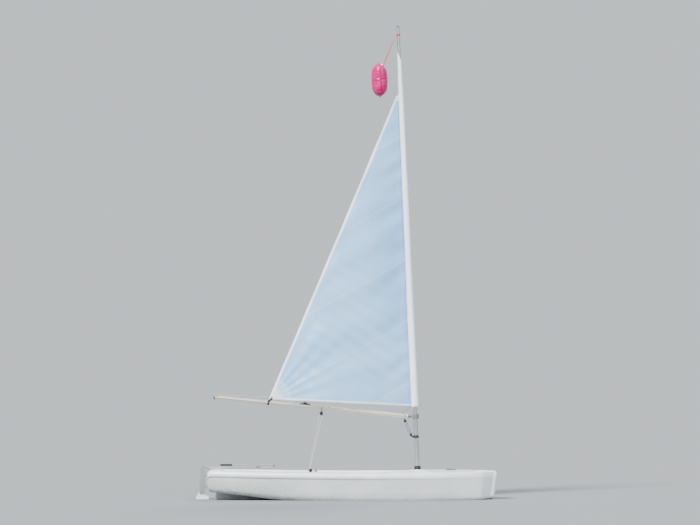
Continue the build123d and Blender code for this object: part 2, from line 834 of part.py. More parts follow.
def make_rudder_blade():
    """A flat head between the cheeks that becomes a foil with a rounded tip."""
    half = blade_thick / 2
    fore = blade_reach_fore
    aft = blade_reach_aft
    outline = [(-blade_head_radius, 0), (blade_head_radius / 2, 0), (blade_head_radius, -blade_neck_depth),
               (fore, -blade_shoulder_depth), (fore, -blade_head_depth), (-aft, -blade_head_depth),
               (-aft, -blade_shoulder_depth)]
    blade = side_plate(outline, -half, half)
    blade = chamfer(blade.faces().sort_by(Axis.X)[-1].edges().filter_by(Axis.Z), half / 2)
    blade += bar_y(blade_head_radius, -half, half)
    blade += foil(BLADE_SECTIONS, fore, aft, foil_overlap - blade_head_depth,
                  -blade_below_pivot, blade_thick)
    blade -= bar_y(blade_bolt_radius + pin_clearance, -blade_thick, blade_thick)
    return Pos(blade_pivot_x, 0, blade_pivot_z) * blade


def make_extension_pin(tiller):
    """The knuckle in the tiller's end and the pin that the extension swings on."""
    pin_top = tiller_top_z + extension_gap + 2 * extension_radius + extension_pin_stand
    knuckle = block(hinge_x - knuckle_half, hinge_x + knuckle_half,
                    -knuckle_half_width, knuckle_half_width,
                    tiller_top_z - knuckle_below, tiller_top_z + knuckle_above)
    knuckle += bar_z(extension_pin_radius, tiller_top_z, pin_top, hinge_x)
    knuckle += bar_z(extension_pin_radius + extension_pin_head, pin_top,
                     pin_top + extension_pin_head, hinge_x)
    return seated(knuckle, tiller)


def make_extension():
    low = tiller_top_z + extension_gap
    top = low + 2 * extension_radius
    tube = bar_x(extension_radius, hinge_x - extension_length, hinge_x, 0, low + extension_radius)
    tube += bar_z(extension_boss_radius, low - extension_boss_stand, top + extension_boss_stand, hinge_x)
    return tube - bar_z(extension_pin_radius + pin_clearance, low - extension_radius, top + extension_radius,
                        hinge_x)


def make_extension_grip():
    end = hinge_x - extension_length
    z = tiller_top_z + extension_gap + extension_radius
    grip = bar_x(grip_radius, end, end + grip_length, 0, z)
    grip = chamfer(grip.edges().filter_by(GeomType.CIRCLE), edge_break)
    return grip - bar_x(extension_radius + seat_gap, end - cut_past, end + grip_length + cut_past, 0, z)


# Each row is one foil section of the centreboard, evenly spaced from its head to its tip,
# with the same columns as the blade's.
BOARD_SECTIONS = [
    (1.00, 1.00, 0.96),
    (1.00, 0.99, 0.96),
    (0.97, 0.96, 0.95),
    (0.88, 0.92, 0.91),
    (0.62, 0.86, 0.79),
    (-0.60, 0.60, 0.40),
]


def make_centreboard():
    """A flat head in the case, on the pin, that becomes a foil with a rounded tip."""
    half = board_thick / 2
    aft = board_chord - board_fore
    outline = [(board_fore, board_head_above / 2), (board_fore, -board_head_depth),
               (-aft, -board_head_depth), (-aft, 0),
               (board_head_slope - aft, board_head_above), (0, board_head_above)]
    board = side_plate(outline, -half, half, board_corner)
    board += foil(BOARD_SECTIONS, board_fore, aft, foil_overlap - board_head_depth, -board_below_pivot,
                  board_thick)
    board -= bar_y(board_pin_radius + pin_clearance, -board_thick, board_thick)
    return Pos(board_pivot_x, 0, board_pivot_z) * board


# Mast
def make_mast_lower():
    foot = mast_clearance - mast_pot_depth
    tube = bar_z(mast_radius, foot, mast_joint_h)
    return tube - bar_z(mast_radius - mast_wall, foot + mast_heel_thick, mast_joint_h + cut_past)


def make_mast_upper():
    """A tapered tube whose straight foot fits inside the lower one."""
    foot = mast_joint_h - mast_joint_lap
    radius = mast_radius_at(mast_joint_h + seat_gap)
    return turned([(radius - mast_wall, foot), (radius, foot), (radius, mast_joint_h),
                   (mast_top_radius, mast_top_h), (mast_top_radius - mast_wall, mast_top_h),
                   (radius - mast_wall, mast_joint_h)])


def make_mast_cap():
    plug = mast_top_radius - mast_wall - 2 * seat_gap
    edge = mast_top_radius + mast_cap_lip
    shoulder = mast_top_h + mast_cap_rise
    return turned([(0, mast_top_h - mast_cap_plug), (plug, mast_top_h - mast_cap_plug), (plug, mast_top_h),
                   (edge, mast_top_h), (edge, shoulder), (edge - mast_cap_dome, shoulder + mast_cap_dome),
                   (0, shoulder + mast_cap_dome)])


# Gooseneck and boom
def make_gooseneck():
    """A split clamp round the mast, its two bolts in front and two jaws for the boom's tongue."""
    outside = mast_radius + gooseneck_wall
    lug_end = outside + clamp_lug_length
    body = bar_z(outside, boom_h - gooseneck_half, boom_h + gooseneck_half)
    parts = [chamfer(body.edges().filter_by(GeomType.CIRCLE), edge_break)]
    for z0 in (-jaw_gap / 2 - jaw_thick, jaw_gap / 2):
        parts.append(block(-boom_gap, -mast_radius, -jaw_half_width, jaw_half_width,
                           boom_h + z0, boom_h + z0 + jaw_thick))
        parts.append(bar_z(jaw_half_width, boom_h + z0, boom_h + z0 + jaw_thick, -boom_gap))
    parts.append(block(mast_radius + edge_break, lug_end, -clamp_lug_half_width, clamp_lug_half_width,
                       boom_h - gooseneck_half + edge_break, boom_h + gooseneck_half - edge_break))
    for side in (1, -1):
        parts.append(bar_y(clamp_bolt_radius, -clamp_bolt_half, clamp_bolt_half,
                           (outside + lug_end) / 2, boom_h + side * clamp_bolt_from_middle))
    clamp = joined(parts)
    clamp -= bar_z(gooseneck_pin_radius + seat_gap, boom_h - gooseneck_half,
                   boom_h + gooseneck_half, -boom_gap)
    clamp -= block(mast_radius, lug_end + cut_past, -clamp_slit / 2, clamp_slit / 2,
                   boom_h - gooseneck_half - cut_past, boom_h + gooseneck_half + cut_past)
    return clamp - mast_bore(boom_h)


def make_gooseneck_pin():
    half = jaw_gap / 2 + jaw_thick
    pin = bar_z(gooseneck_pin_radius, boom_h - half - gooseneck_pin_head, boom_h + half, -boom_gap)
    return pin + bar_z(gooseneck_pin_radius + gooseneck_pin_head, boom_h + half,
                       boom_h + half + gooseneck_pin_head, -boom_gap)


def make_boom():
    tube = bar_x(boom_radius, boom_start, boom_length)
    return tube - bar_x(boom_radius - boom_wall, boom_start - cut_past, boom_length + cut_past)


def make_boom_front_cap():
    """The cast plug in the boom's front end and the tongue that goes between the jaws."""
    half = jaw_gap / 2 - tongue_clearance
    nose = Plane((boom_start - boom_cap_thick, 0, 0), z_dir=(1, 0, 0)) * Circle(boom_cap_nose_radius)
    back = Plane((boom_start, 0, 0), z_dir=(1, 0, 0)) * Circle(boom_radius)
    cap = loft([nose, back])
    cap += block(-tongue_half_width, boom_start, -tongue_half_width, tongue_half_width, -half, half)
    cap += bar_x(boom_radius - boom_wall - seat_gap, boom_start, boom_start + boom_plug)
    bore = bar_z(gooseneck_pin_radius + seat_gap, boom_h - boom_plug, boom_h + boom_plug, -boom_gap)
    return boom_line * cap - bore


def make_boom_aft_cap():
    cap = bar_x(boom_radius, boom_length, boom_length + boom_cap_thick)
    cap = chamfer(cap.edges().filter_by(GeomType.CIRCLE).sort_by(Axis.X)[-1:], 2 * edge_break)
    return cap + bar_x(boom_radius - boom_wall - seat_gap, boom_length - boom_plug, boom_length)


def make_block_hanger():
    hanger = boom_band(boom_block_at - hanger_half, boom_block_at + hanger_half, band_thick)
    return hanger + block(boom_block_at - block_neck, boom_block_at + block_neck,
                          -cheek_gap / 2, cheek_gap / 2,
                          -boom_radius - hanger_ring_drop, -boom_radius - band_thick / 2)


def make_outhaul_cleat():
    """A two-horned cleat on top of the boom, its base hollowed to the tube."""
    middle = (cleat_from + cleat_to) / 2
    base = boom_radius + cleat_base_thick
    top = boom_radius + cleat_horn_height
    under = top - cleat_horn_thick
    right = [(cleat_to, 0), (cleat_to, base), (middle + cleat_waist_half, base + edge_break),
             (middle + cleat_waist_half, under - edge_break), (cleat_to - cleat_end_in, under),
             (cleat_to - cleat_end_in, top)]
    left = [(cleat_from + cleat_to - x, z) for x, z in reversed(right)]
    cleat = side_plate(right + left, -cleat_half_width, cleat_half_width)
    return cleat - bar_x(boom_radius + seat_gap, cleat_from - cut_past, cleat_to + cut_past)


def make_clew_strap():
    strap = boom_band(clew_at - clew_band / 2, clew_at + clew_band / 2, band_thick)
    return strap + block(clew_at - clew_eye_half, clew_at + clew_eye_half,
                         -clew_eye_half / 2, clew_eye_half / 2,
                         boom_radius + band_thick / 2, boom_radius + clew_eye_rise)


# Kicker
low_eye = Vector(-mast_radius - kicker_lug, 0, kicker_h)
high_eye = on_boom(kicker_at, -boom_radius - hanger_ring_drop)
kicker_line = (high_eye - low_eye).normalized()
kicker_scaled_drop = block_drop * kicker_block_scale


def along_kicker(start, direction):
    """The place of a block that hangs from start in the given direction."""
    return Plane(start, x_dir=kicker_line.cross(Vector(0, 1, 0)), z_dir=direction * -1).location


def make_kicker_ring():
    ring = bar_z(mast_radius + kicker_ring_wall, kicker_h - kicker_ring_half, kicker_h + kicker_ring_half)
    ring += block(-mast_radius - kicker_lug, -mast_radius, -kicker_lug_half_width, kicker_lug_half_width,
                  kicker_h - kicker_lug_half, kicker_h + kicker_lug_half)
    return ring - mast_bore(kicker_h)


def make_kicker_eye():
    eye = boom_band(kicker_at - kicker_band_half, kicker_at + kicker_band_half, band_thick)
    return eye + block(kicker_at - block_neck, kicker_at + block_neck, -kicker_lug_half_width,
                       kicker_lug_half_width, -boom_radius - hanger_ring_drop, -boom_radius - band_thick / 2)


def make_kicker_block(start, direction, carrier):
    return seated(rig * along_kicker(start, direction) * pulley_block(kicker_block_scale), carrier)


def make_kicker_legs():
    """Three taut parts of line between the two blocks."""
    legs = []
    rim = (sheave_radius - sheave_groove) * kicker_block_scale
    across = kicker_line.cross(Vector(0, 1, 0))
    start = low_eye + kicker_line * kicker_scaled_drop
    end = high_eye - kicker_line * kicker_scaled_drop
    for side in (-1, 0, 1):
        offset = across * (side * (rim + kicker_line_radius + seat_gap))
        legs.append(rod_between(start + offset, end + offset, Circle(kicker_line_radius)))
    return legs


# Sail: a roll round the mast and a thin cambered sheet that leaves it
def roll_radius_at(h):
    """Outer radius of the rolled cloth at height h."""
    share = (h - tack_h) / (roll_top_h - tack_h)
    return roll_radius_low + share * (roll_radius_top - roll_radius_low)


def sail_strip(share):
    """A thin curved strip from the roll's port side to the leech, share of the way up."""
    luff_h = tack_h + foot_rise + share * (head_h - tack_h)
    leech_h = clew_h + share * (head_h - clew_h)
    reach = clew_aft + share * (head_aft - clew_aft)
    twist = math.radians(sail_twist * share)
    luff = Vector(0, roll_radius_at(luff_h) - sail_thick, luff_h)
    leech = Vector(-reach * math.cos(twist), -reach * math.sin(twist), leech_h)
    chord = leech - luff
    leeward = Vector(0, 0, 1).cross(chord).normalized()
    middle = (luff + leech) / 2 + leeward * (sail_camber * chord.length)
    side = leeward * (sail_thick / 2)
    outer = ThreePointArc(luff + side, middle + side, leech + side)
    inner = ThreePointArc(luff - side, middle - side, leech - side)
    loop = [outer, Line(outer @ 1, inner @ 1), inner, Line(inner @ 0, outer @ 0)]
    return make_face(Wire([edge.edge() for edge in loop]))


def make_sail():
    """The roll and the sheet, less the room that the mast's two tubes take inside them."""
    roll = turned([(0, tack_h), (roll_radius_low, tack_h), (roll_radius_top, roll_top_h), (0, roll_top_h)])
    sheet = loft([sail_strip(i / (sail_section_count - 1)) for i in range(sail_section_count)])
    low = mast_radius + seat_gap
    step = mast_joint_h + seat_gap
    room = [(0, tack_h - cut_past), (low, tack_h - cut_past), (low, step),
            (mast_radius_at(step) + seat_gap, step),
            (mast_radius_at(roll_top_h) + seat_gap, roll_top_h + cut_past), (0, roll_top_h + cut_past)]
    return roll + sheet - turned(room)


def make_tack_strap(sail, boom):
    start = Vector(tack_strap_in - roll_radius_low, 0, tack_h + tack_strap_up)
    end = on_boom(tack_strap_at, boom_radius)
    strap = rod_between(start, end, Rectangle(tack_strap_width, tack_strap_thick))
    return seated(seated(rig * strap, sail), boom)


def make_float():
    bag = fillet(Box(float_long, float_wide, float_tall).edges(), float_round)
    return Pos(-float_aft, 0, float_h) * bag


def make_float_strap(bag):
    """A band round the masthead and two strands of webbing down to the float."""
    radius = mast_radius_at(strap_h)
    parts = [bar_z(radius + strap_thick, strap_h - strap_band_half, strap_h + strap_band_half)]
    for side in (1, -1):
        start = Vector(-radius - strap_thick / 2, side * strap_spread_top, strap_h)
        end = Vector(float_long / 3 - float_aft, side * strap_spread_low,
                     float_h + float_tall / 2 - strap_into_float)
        parts.append(rod_between(start, end, Rectangle(strap_width, strap_thick)))
    return seated(rig * (joined(parts) - mast_bore(strap_h)), bag)


hull = make_hull()
tiller = make_tiller()
sail = rig * make_sail()
boom = rig * boom_line * make_boom()
kicker_ring = rig * make_kicker_ring()
kicker_eye = rig * boom_line * make_kicker_eye()
masthead_float = rig * make_float()
kicker_low = make_kicker_block(low_eye, kicker_line, kicker_ring)
kicker_high = make_kicker_block(high_eye, kicker_line * -1, kicker_eye)
kicker_legs = []
for leg in make_kicker_legs():
    kicker_legs.append(seated(seated(rig * leg, kicker_low), kicker_high))

pieces = {
    "hull": hull,
    "mast_collar": make_mast_collar(hull),
    "case_cap": make_case_cap(),
    "board_pin": bar_y(board_pin_radius, -slot_width / 2, slot_width / 2, board_pivot_x, board_pivot_z),
    "foredeck_hatch": make_hatch(hull),
    "toe_straps": make_toe_strap(1, hull) + make_toe_strap(-1, hull),
    "sheet_swivel": make_sheet_swivel(),
    "swivel_block": make_swivel_block(),
    "bow_eye": make_bow_eye(hull),
    "drain_plugs": make_drain_plugs(),
    "gudgeons": make_gudgeons(),
    "rudder_stock": make_rudder_stock(),
    "pintles": make_pintles(),
    "tiller": tiller,
    "blade_bolt": make_blade_bolt(),
    "rudder_blade": make_rudder_blade(),
    "extension_pin": make_extension_pin(tiller),
    "tiller_extension": make_extension(),
    "extension_grip": make_extension_grip(),
    "centreboard": make_centreboard(),
    "mast_lower": rig * make_mast_lower(),
    "mast_upper": rig * make_mast_upper(),
    "mast_cap": rig * make_mast_cap(),
    "gooseneck": rig * make_gooseneck(),
    "gooseneck_pin": rig * make_gooseneck_pin(),
    "boom": boom,
    "boom_front_cap": rig * make_boom_front_cap(),
    "boom_aft_cap": rig * boom_line * make_boom_aft_cap(),
    "block_hanger": rig * boom_line * make_block_hanger(),
    "boom_block": rig * boom_line * Pos(boom_block_at, 0, -boom_radius - hanger_ring_drop) * pulley_block(),
    "outhaul_cleat": rig * boom_line * make_outhaul_cleat(),
    "clew_strap": rig * boom_line * make_clew_strap(),
    "kicker_ring": kicker_ring,
    "kicker_eye": kicker_eye,
    "kicker": kicker_low,
    "kicker_block": kicker_high,
    "kicker_line": joined(kicker_legs),
    "sail": sail,
    "tack_strap": make_tack_strap(sail, boom),
    "masthead_float": masthead_float,
    "float_strap": make_float_strap(masthead_float),
}

os.makedirs("parts", exist_ok=True)
for name, shape in pieces.items():
    export_step(shape, f"parts/{name}.step")
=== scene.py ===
"""Sailing dinghy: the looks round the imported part.

Everything is in metres, +X to the bow, +Y to port, +Z up, with the water at z = 0. Helpers come
first, then the finishes, the makers of the pieces, the settings and the operators that run them.
"""
import json
import math

import bmesh
import bpy
import numpy as np
from bpy.props import FloatProperty, FloatVectorProperty, PointerProperty
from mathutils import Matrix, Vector


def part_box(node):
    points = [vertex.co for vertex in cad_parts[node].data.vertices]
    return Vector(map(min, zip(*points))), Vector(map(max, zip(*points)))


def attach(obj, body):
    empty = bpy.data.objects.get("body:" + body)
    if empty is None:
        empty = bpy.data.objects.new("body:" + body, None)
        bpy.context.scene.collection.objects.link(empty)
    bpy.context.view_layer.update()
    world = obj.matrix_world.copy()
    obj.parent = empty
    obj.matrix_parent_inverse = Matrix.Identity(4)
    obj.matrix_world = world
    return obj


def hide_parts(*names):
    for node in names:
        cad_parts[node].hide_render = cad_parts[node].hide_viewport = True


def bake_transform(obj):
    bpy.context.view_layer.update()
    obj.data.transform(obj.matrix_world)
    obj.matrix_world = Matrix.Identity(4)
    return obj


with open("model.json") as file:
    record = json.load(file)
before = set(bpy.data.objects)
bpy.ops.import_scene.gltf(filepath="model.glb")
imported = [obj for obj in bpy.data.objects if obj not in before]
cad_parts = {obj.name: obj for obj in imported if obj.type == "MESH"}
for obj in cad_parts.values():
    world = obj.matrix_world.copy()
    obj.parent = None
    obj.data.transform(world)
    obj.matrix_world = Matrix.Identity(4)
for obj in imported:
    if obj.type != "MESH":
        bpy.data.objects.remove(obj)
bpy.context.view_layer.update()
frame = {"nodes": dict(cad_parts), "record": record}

bl_info = {
    "name": "Sailing dinghy",
    "version": (1, 0, 0),
    "blender": (4, 5, 0),
    "location": "View3D > Sidebar > Dinghy",
    "description": "Adds the sail, float, straps, ropes, deck detail and finishes of a moulded dinghy",
    "category": "Object",
}

# Sizes and places shared with the part, in metres and radians. A height H is up the mast from its
# foot, and an AT is along the boom from its fore end.
MAST_FOOT = np.array([1.030, 0.0, 0.462])
MAST_RAKE = math.radians(2.5)
MAST_RADIUS = 0.035
MAST_JOINT_H = 3.5
MAST_TOP_H = 7.11
UPPER_RADII = (0.0317, 0.023)
REST_SWING = math.radians(6.0)
BOOM_GAP = 0.076
BOOM_H = 0.858
BOOM_RISE = math.radians(8.06)
BOOM_RADIUS = 0.0315
BOOM_LENGTH = 3.147
BOOM_BLOCK_AT = 1.430
CLEAT_AT = 1.7015
CLEW_STRAP_AT = 2.2896
HANGER_DROP = 0.018
KICKER_H = 0.535
KICKER_AT = 0.095
KICKER_DROP = 0.032
KICKER_GROOVE = 0.0155
SWIVEL = np.array([-0.680, 0.0, 0.418])
BLOCK_DROP = 0.040
SHEAVE_GROOVE = 0.019
CASE_TOP = 0.384
BOW_EYE_BASE = 0.462
TILLER_Z = 0.505
TILLER_RADIUS = 0.015
TRANSOM_X = -2.300
GUDGEON_HEIGHTS = (0.185, 0.365)
WELL_FLOOR = 0.165
TOE_STRAP_OUT = 0.250
HULL_PLACES = -2.240 + 4.478 * np.array([0.0, 0.122, 0.244, 0.366, 0.488, 0.610, 0.732, 0.854, 0.960, 1.0])
HULL_BEAMS = 0.9 * np.array([0.785, 0.890, 0.955, 0.990, 1.0, 0.975, 0.890, 0.710, 0.450, 0.275])

# The sail: the ring in from the clew, the head's distance from the mast, the leech's slope, a panel's
# width, the roll's radius at its foot and top, the length of a mean turn, how much of the chord's
# turn the cloth has where it leaves the roll, and how far forward its deepest part lies
CLEW_EYE_IN, CLEW_EYE_UP = 0.042, 0.034
HEAD_AFT = 0.078
LEECH_SIN, LEECH_COS = 0.440, 0.898
PANEL_WIDTH = 0.86
ROLL_RADII = (0.0685, 0.0425)
MEAN_TURN = 0.283
CHORD_SHARE = 0.6
DRAFT_FORWARD = 0.24

# The float, in the rig's frame: its middle, its size, the height of the strap's band, the ends of the
# strap's strands from its middle, the frames that it fills in and how far a point may move in them
FLOAT_PLACE = np.array([-0.336, 0.0, 6.268])
FLOAT_SIZE = np.array([0.258, 0.380, 0.554])
FLOAT_STRAP_H = 6.985
FLOAT_STRAND_END = np.array([0.072, 0.058, 0.225])
FLOAT_FRAMES = 20
FLOAT_CAP = 0.030

# The ropes' radii
ROPE_RADII = {"sheet_rope": 0.0045, "control_rope": 0.0025, "dark_rope": 0.0030}

# The picture's width over its height
PICTURE_ASPECT = 700 / 525

# The finishes by name, filled by the first two operators
MATERIALS = {}


def linear(hex_colour):
    """The linear RGBA of an sRGB hex colour: ((c + 0.055) / 1.055) ** 2.4, or c / 12.92 when dark."""
    values = np.array([int(hex_colour[i:i + 2], 16) for i in (1, 3, 5)]) / 255
    values = np.where(values <= 0.04045, values / 12.92, ((values + 0.055) / 1.055) ** 2.4)
    return (*values, 1.0)


# Points
def points_of(*coordinates):
    """Points from their coordinates, each an array or a number, all spread to one shape."""
    return np.stack(np.broadcast_arrays(*coordinates), axis=-1)


def around(radius, angle, *height):
    """Points at a radius and an angle about an axis, at a height along it where one is given."""
    return points_of(radius * np.cos(angle), radius * np.sin(angle), *height)


# Frames of the rig: z up the mast and x forward, and the same along the boom
def rig_place(points):
    """World places of points in the rig's frame: a turn by the rest swing about the raked mast."""
    points = np.asarray(points, float)
    cos_s, sin_s = math.cos(REST_SWING), math.sin(REST_SWING)
    x = points[..., 0] * cos_s - points[..., 1] * sin_s
    y = points[..., 0] * sin_s + points[..., 1] * cos_s
    forward = np.array([math.cos(MAST_RAKE), 0, math.sin(MAST_RAKE)])
    up = np.array([-math.sin(MAST_RAKE), 0, math.cos(MAST_RAKE)])
    side = np.array([0.0, 1.0, 0.0])
    return MAST_FOOT + x[..., None] * forward + y[..., None] * side + points[..., 2:3] * up


def from_boom(points):
    """Rig-frame places of points in the boom's frame: x aft along it, y to starboard, z up."""
    points = np.asarray(points, float)
    cos_b, sin_b = math.cos(BOOM_RISE), math.sin(BOOM_RISE)
    x = -BOOM_GAP - points[..., 0] * cos_b + points[..., 2] * sin_b
    z = BOOM_H + points[..., 0] * sin_b + points[..., 2] * cos_b
    return points_of(x, -points[..., 1], z)


def boom_place(points):
    """World places of points in the boom's frame."""
    return rig_place(from_boom(points))


def rig_axes():
    """World directions of the rig's frame: forward, to port and up the mast."""
    return rig_place(np.eye(3)) - rig_place(np.zeros(3))


def boom_axes():
    """World directions of the boom's frame: aft, to starboard and up."""
    return boom_place(np.eye(3)) - boom_place(np.zeros(3))


def along_boom(place):
    """The boom-frame place of a point of the world."""
    return np.linalg.solve(boom_axes().T, place - boom_place(np.zeros(3)))


def mast_radius_at(h):
    """Outer radius of the mast at height h: straight to the joint, then tapering."""
    share = np.clip((h - MAST_JOINT_H) / (MAST_TOP_H - MAST_JOINT_H), 0, 1)
    upper = UPPER_RADII[0] + share * (UPPER_RADII[1] - UPPER_RADII[0])
    return np.where(h <= MAST_JOINT_H, MAST_RADIUS, upper)


def half_beam_at(x):
    """Half breadth at the rim, straight between the part's sections."""
    return np.interp(x, HULL_PLACES, HULL_BEAMS)


def smooth(edge0, edge1, x):
    """Smooth step from 0 at edge0 to 1 at edge1: 3 t^2 - 2 t^3."""
    t = np.clip((x - edge0) / (edge1 - edge0), 0, 1)
    return t * t * (3 - 2 * t)


# Meshes from arrays
def new_object(name, data):
    """An object that holds this data, linked into the scene."""
    made = bpy.data.objects.new(name, data)
    bpy.context.scene.collection.objects.link(made)
    return made


def surface(name, points, close=False, caps=False, uv=None, attributes=None):
    """A mesh over a grid of points P[i, j], or over a stack of such grids.

    Each quad joins i, i + 1 and j, j + 1. close joins the last j to the first, and caps fills
    the first and the last i with fans about their middle.
    """
    points = np.asarray(points, float)
    points = points.reshape(-1, *points.shape[-3:])
    index = np.arange(points[..., 0].size).reshape(points.shape[:3])
    after = np.roll(index, -1, axis=2)
    if not close:
        index, after = index[..., :-1], after[..., :-1]
    quads = np.stack([index[:, :-1], index[:, 1:], after[:, 1:], after[:, :-1]], axis=-1).reshape(-1, 4)
    vertices = points.reshape(-1, 3)
    loops, totals = [quads.ravel()], [np.full(len(quads), 4)]
    if uv is not None:
        uv = np.asarray(uv, float).reshape(*points.shape[:3], 2)
        uv_values = uv.reshape(-1, 2)
    if caps:
        for end in (0, -1):
            middle = np.broadcast_to(len(vertices) + np.arange(len(points))[:, None], index[:, end].shape)
            fan = np.stack([middle, index[:, end], after[:, end]], axis=-1).reshape(-1, 3)
            vertices = np.vstack([vertices, points[:, end].mean(axis=1)])
            loops.append(fan.ravel())
            totals.append(np.full(len(fan), 3))
            if uv is not None:
                uv_values = np.vstack([uv_values, uv[:, end].mean(axis=1)])
    loops = np.concatenate(loops).astype(np.int32)
    totals = np.concatenate(totals).astype(np.int32)
    mesh = bpy.data.meshes.new(name)
    mesh.vertices.add(len(vertices))
    mesh.vertices.foreach_set("co", vertices.ravel())
    mesh.loops.add(len(loops))
    mesh.loops.foreach_set("vertex_index", loops)
    mesh.polygons.add(len(totals))
    mesh.polygons.foreach_set("loop_start", (np.cumsum(totals) - totals).astype(np.int32))
    mesh.polygons.foreach_set("loop_total", totals)
    mesh.polygons.foreach_set("use_smooth", np.ones(len(totals), bool))
    if uv is not None:
        mesh.uv_layers.new(name="UVMap").data.foreach_set("uv", uv_values[loops].ravel())
    for key, values in (attributes or {}).items():
        layer = mesh.attributes.new(key, "FLOAT", "POINT")
        layer.data.foreach_set("value", np.asarray(values, float).ravel())
    mesh.update(calc_edges=True)
    mesh.validate()
    return new_object(name, mesh)


def closed(made, material, merge=1e-6):
    """Merges doubles, turns every face outwards and gives the piece its material."""
    work = bmesh.new()
    work.from_mesh(made.data)
    bmesh.ops.remove_doubles(work, verts=work.verts, dist=merge)
    bmesh.ops.recalc_face_normals(work, faces=work.faces)
    work.to_mesh(made.data)
    work.free()
    return finish(made, material)


def finish(piece, material):
    """Gives a piece the finish of that name, and no other."""
    piece.data.materials.clear()
    piece.data.materials.append(MATERIALS[material])
    return piece


def along(path):
    """Length from the start of a path to each of its points."""
    steps = np.linalg.norm(np.diff(path, axis=0), axis=1)
    return np.concatenate([[0], np.cumsum(steps)])


def even_path(path, step, soften=0):
    """The same path with its points an even step apart, its corners eased by a moving mean."""
    path = np.asarray(path, float)
    length = along(path)
    count = max(2, int(math.ceil(length[-1] / step)) + 1)
    at = np.linspace(0, length[-1], count)
    even = np.stack([np.interp(at, length, path[:, axis]) for axis in range(3)], axis=-1)
    if soften:
        reach = np.clip(np.minimum(np.arange(count), np.arange(count)[::-1]), 0, soften)[:, None]
        total = np.concatenate([np.zeros((1, 3)), np.cumsum(even, axis=0)])
        middle = np.arange(count)[:, None]
        low, high = (middle - reach)[:, 0], (middle + reach)[:, 0] + 1
        even = (total[high] - total[low]) / (2 * reach + 1)
    return even


def sweep(name, path, profile, side, material, scale=1.0):
    """A closed profile carried along a path and capped at its ends.

    The profile's first axis stays as near as it can to side, and its second is at right
    angles to both that and the path; scale grows or shrinks it from point to point.
    """
    length = along(path)
    tangent = np.gradient(path, length, axis=0)
    tangent /= np.linalg.norm(tangent, axis=1)[:, None]
    across = side - (side * tangent).sum(axis=1)[:, None] * tangent
    across /= np.linalg.norm(across, axis=1)[:, None]
    up = np.cross(tangent, across)
    flat = profile * np.reshape(scale, (-1, 1, 1))
    points = path[:, None] + flat[..., :1] * across[:, None] + flat[..., 1:] * up[:, None]
    uv = points_of(length[:, None], along(profile))
    return closed(surface(name, points, close=True, caps=True, uv=uv), material)


def circle(radius, count=12):
    """Points round a circle, counter-clockwise."""
    return around(radius, np.linspace(0, 2 * math.pi, count, endpoint=False))


def strap_profile(width, thick):
    """Webbing's section: flat faces with half-round edges."""
    right = around(thick / 2, np.linspace(-math.pi / 2, math.pi / 2, 6)) + (width / 2 - thick / 2, 0)
    return np.vstack([right, -right])


def box_profile(width, height, corner):
    """A rectangle with round corners, counter-clockwise."""
    quarter = around(corner, np.linspace(0, math.pi / 2, 5))
    first = quarter + (width / 2 - corner, height / 2 - corner)
    second = first[::-1] * (-1, 1)
    return np.vstack([first, second, -first, -second])


def slab(name, start, end, size, side, material):
    """A plate or block: a rectangle of (width, height, corner) carried from start to end, with
    its end edges eased."""
    edge = 0.0015
    start, end = np.array(start, float), np.array(end, float)
    profile = box_profile(*size)
    long = np.linalg.norm(end - start)
    at = np.array([0, edge, long - edge, long]) / long
    shrink = 1 - edge / np.abs(profile).max()
    path = start + at[:, None] * (end - start)
    return sweep(name, path, profile, side, material, (shrink, 1, 1, shrink))


def turned(name, profile, places, axes, material, count=32):
    """A closed profile of (radius, height) turned about an axis at each of several places."""
    profile = np.array(profile, float)[:, None]
    places = np.atleast_2d(np.array(places, float))
    axes = np.broadcast_to(np.atleast_2d(axes), places.shape)
    axes = axes / np.linalg.norm(axes, axis=1)[:, None]
    helper = np.where(np.abs(axes[:, :1]) < 0.9, [[1.0, 0, 0]], [[0, 1.0, 0]])
    first = np.cross(axes, helper)
    first /= np.linalg.norm(first, axis=1)[:, None]
    second = np.cross(axes, first)
    angle = np.linspace(0, 2 * math.pi, count, endpoint=False)[:, None]
    outwards = np.cos(angle) * first[:, None] + np.sin(angle) * second[:, None]
    points = (places[:, None, None] + profile[..., :1] * outwards[:, None]
              + profile[..., 1:] * axes[:, None, None])
    return closed(surface(name, points, close=True), material)


def screw_heads(name, places, axes, radius):
    """Low round screw heads with a dimple, all in one mesh, standing on places along axes."""
    profile = radius * np.array([[1.0, -0.4], [1.0, 0.1], [0.8, 0.42], [0.42, 0.55], [0.34, 0.2], [0.0, 0.2]])
    return turned(name, profile, places, axes, "stainless_steel", 12)


def ring(name, place, axis, radius, wire):
    """A round ring of wire: a circle turned about an axis outside it."""
    section = circle(wire)
    profile = np.vstack([section, section[:1]]) + (radius, 0)
    return turned(name, profile, place, axis, "stainless_steel", 36)


def knot(name, place, size, material):
    """A stopper knot: rope along a torus knot that winds twice round and three times through."""
    angle = np.linspace(0, 2 * math.pi, 121)
    path = place + around(size * (1 + 0.45 * np.cos(3 * angle)), 2 * angle, 0.55 * size * np.sin(3 * angle))
    return sweep(name, path, circle(ROPE_RADII[material], 8), around(1, 2 * angle, 0), material)


def joined(name, objects):
    """One object out of several, with their materials kept."""
    first = objects[0]
    first.name = name
    first.data.name = name
    if len(objects) > 1:
        with bpy.context.temp_override(active_object=first, object=first, selected_objects=objects,
                                       selected_editable_objects=objects):
            bpy.ops.object.join()
    return first


def applied(made):
    """Makes the mesh what its modifiers show now, and takes the modifiers off."""
    graph = bpy.context.evaluated_depsgraph_get()
    mesh = bpy.data.meshes.new_from_object(made.evaluated_get(graph), depsgraph=graph)
    made.modifiers.clear()
    old = made.data
    made.data = mesh
    mesh.name = old.name
    bpy.data.meshes.remove(old)
    return made


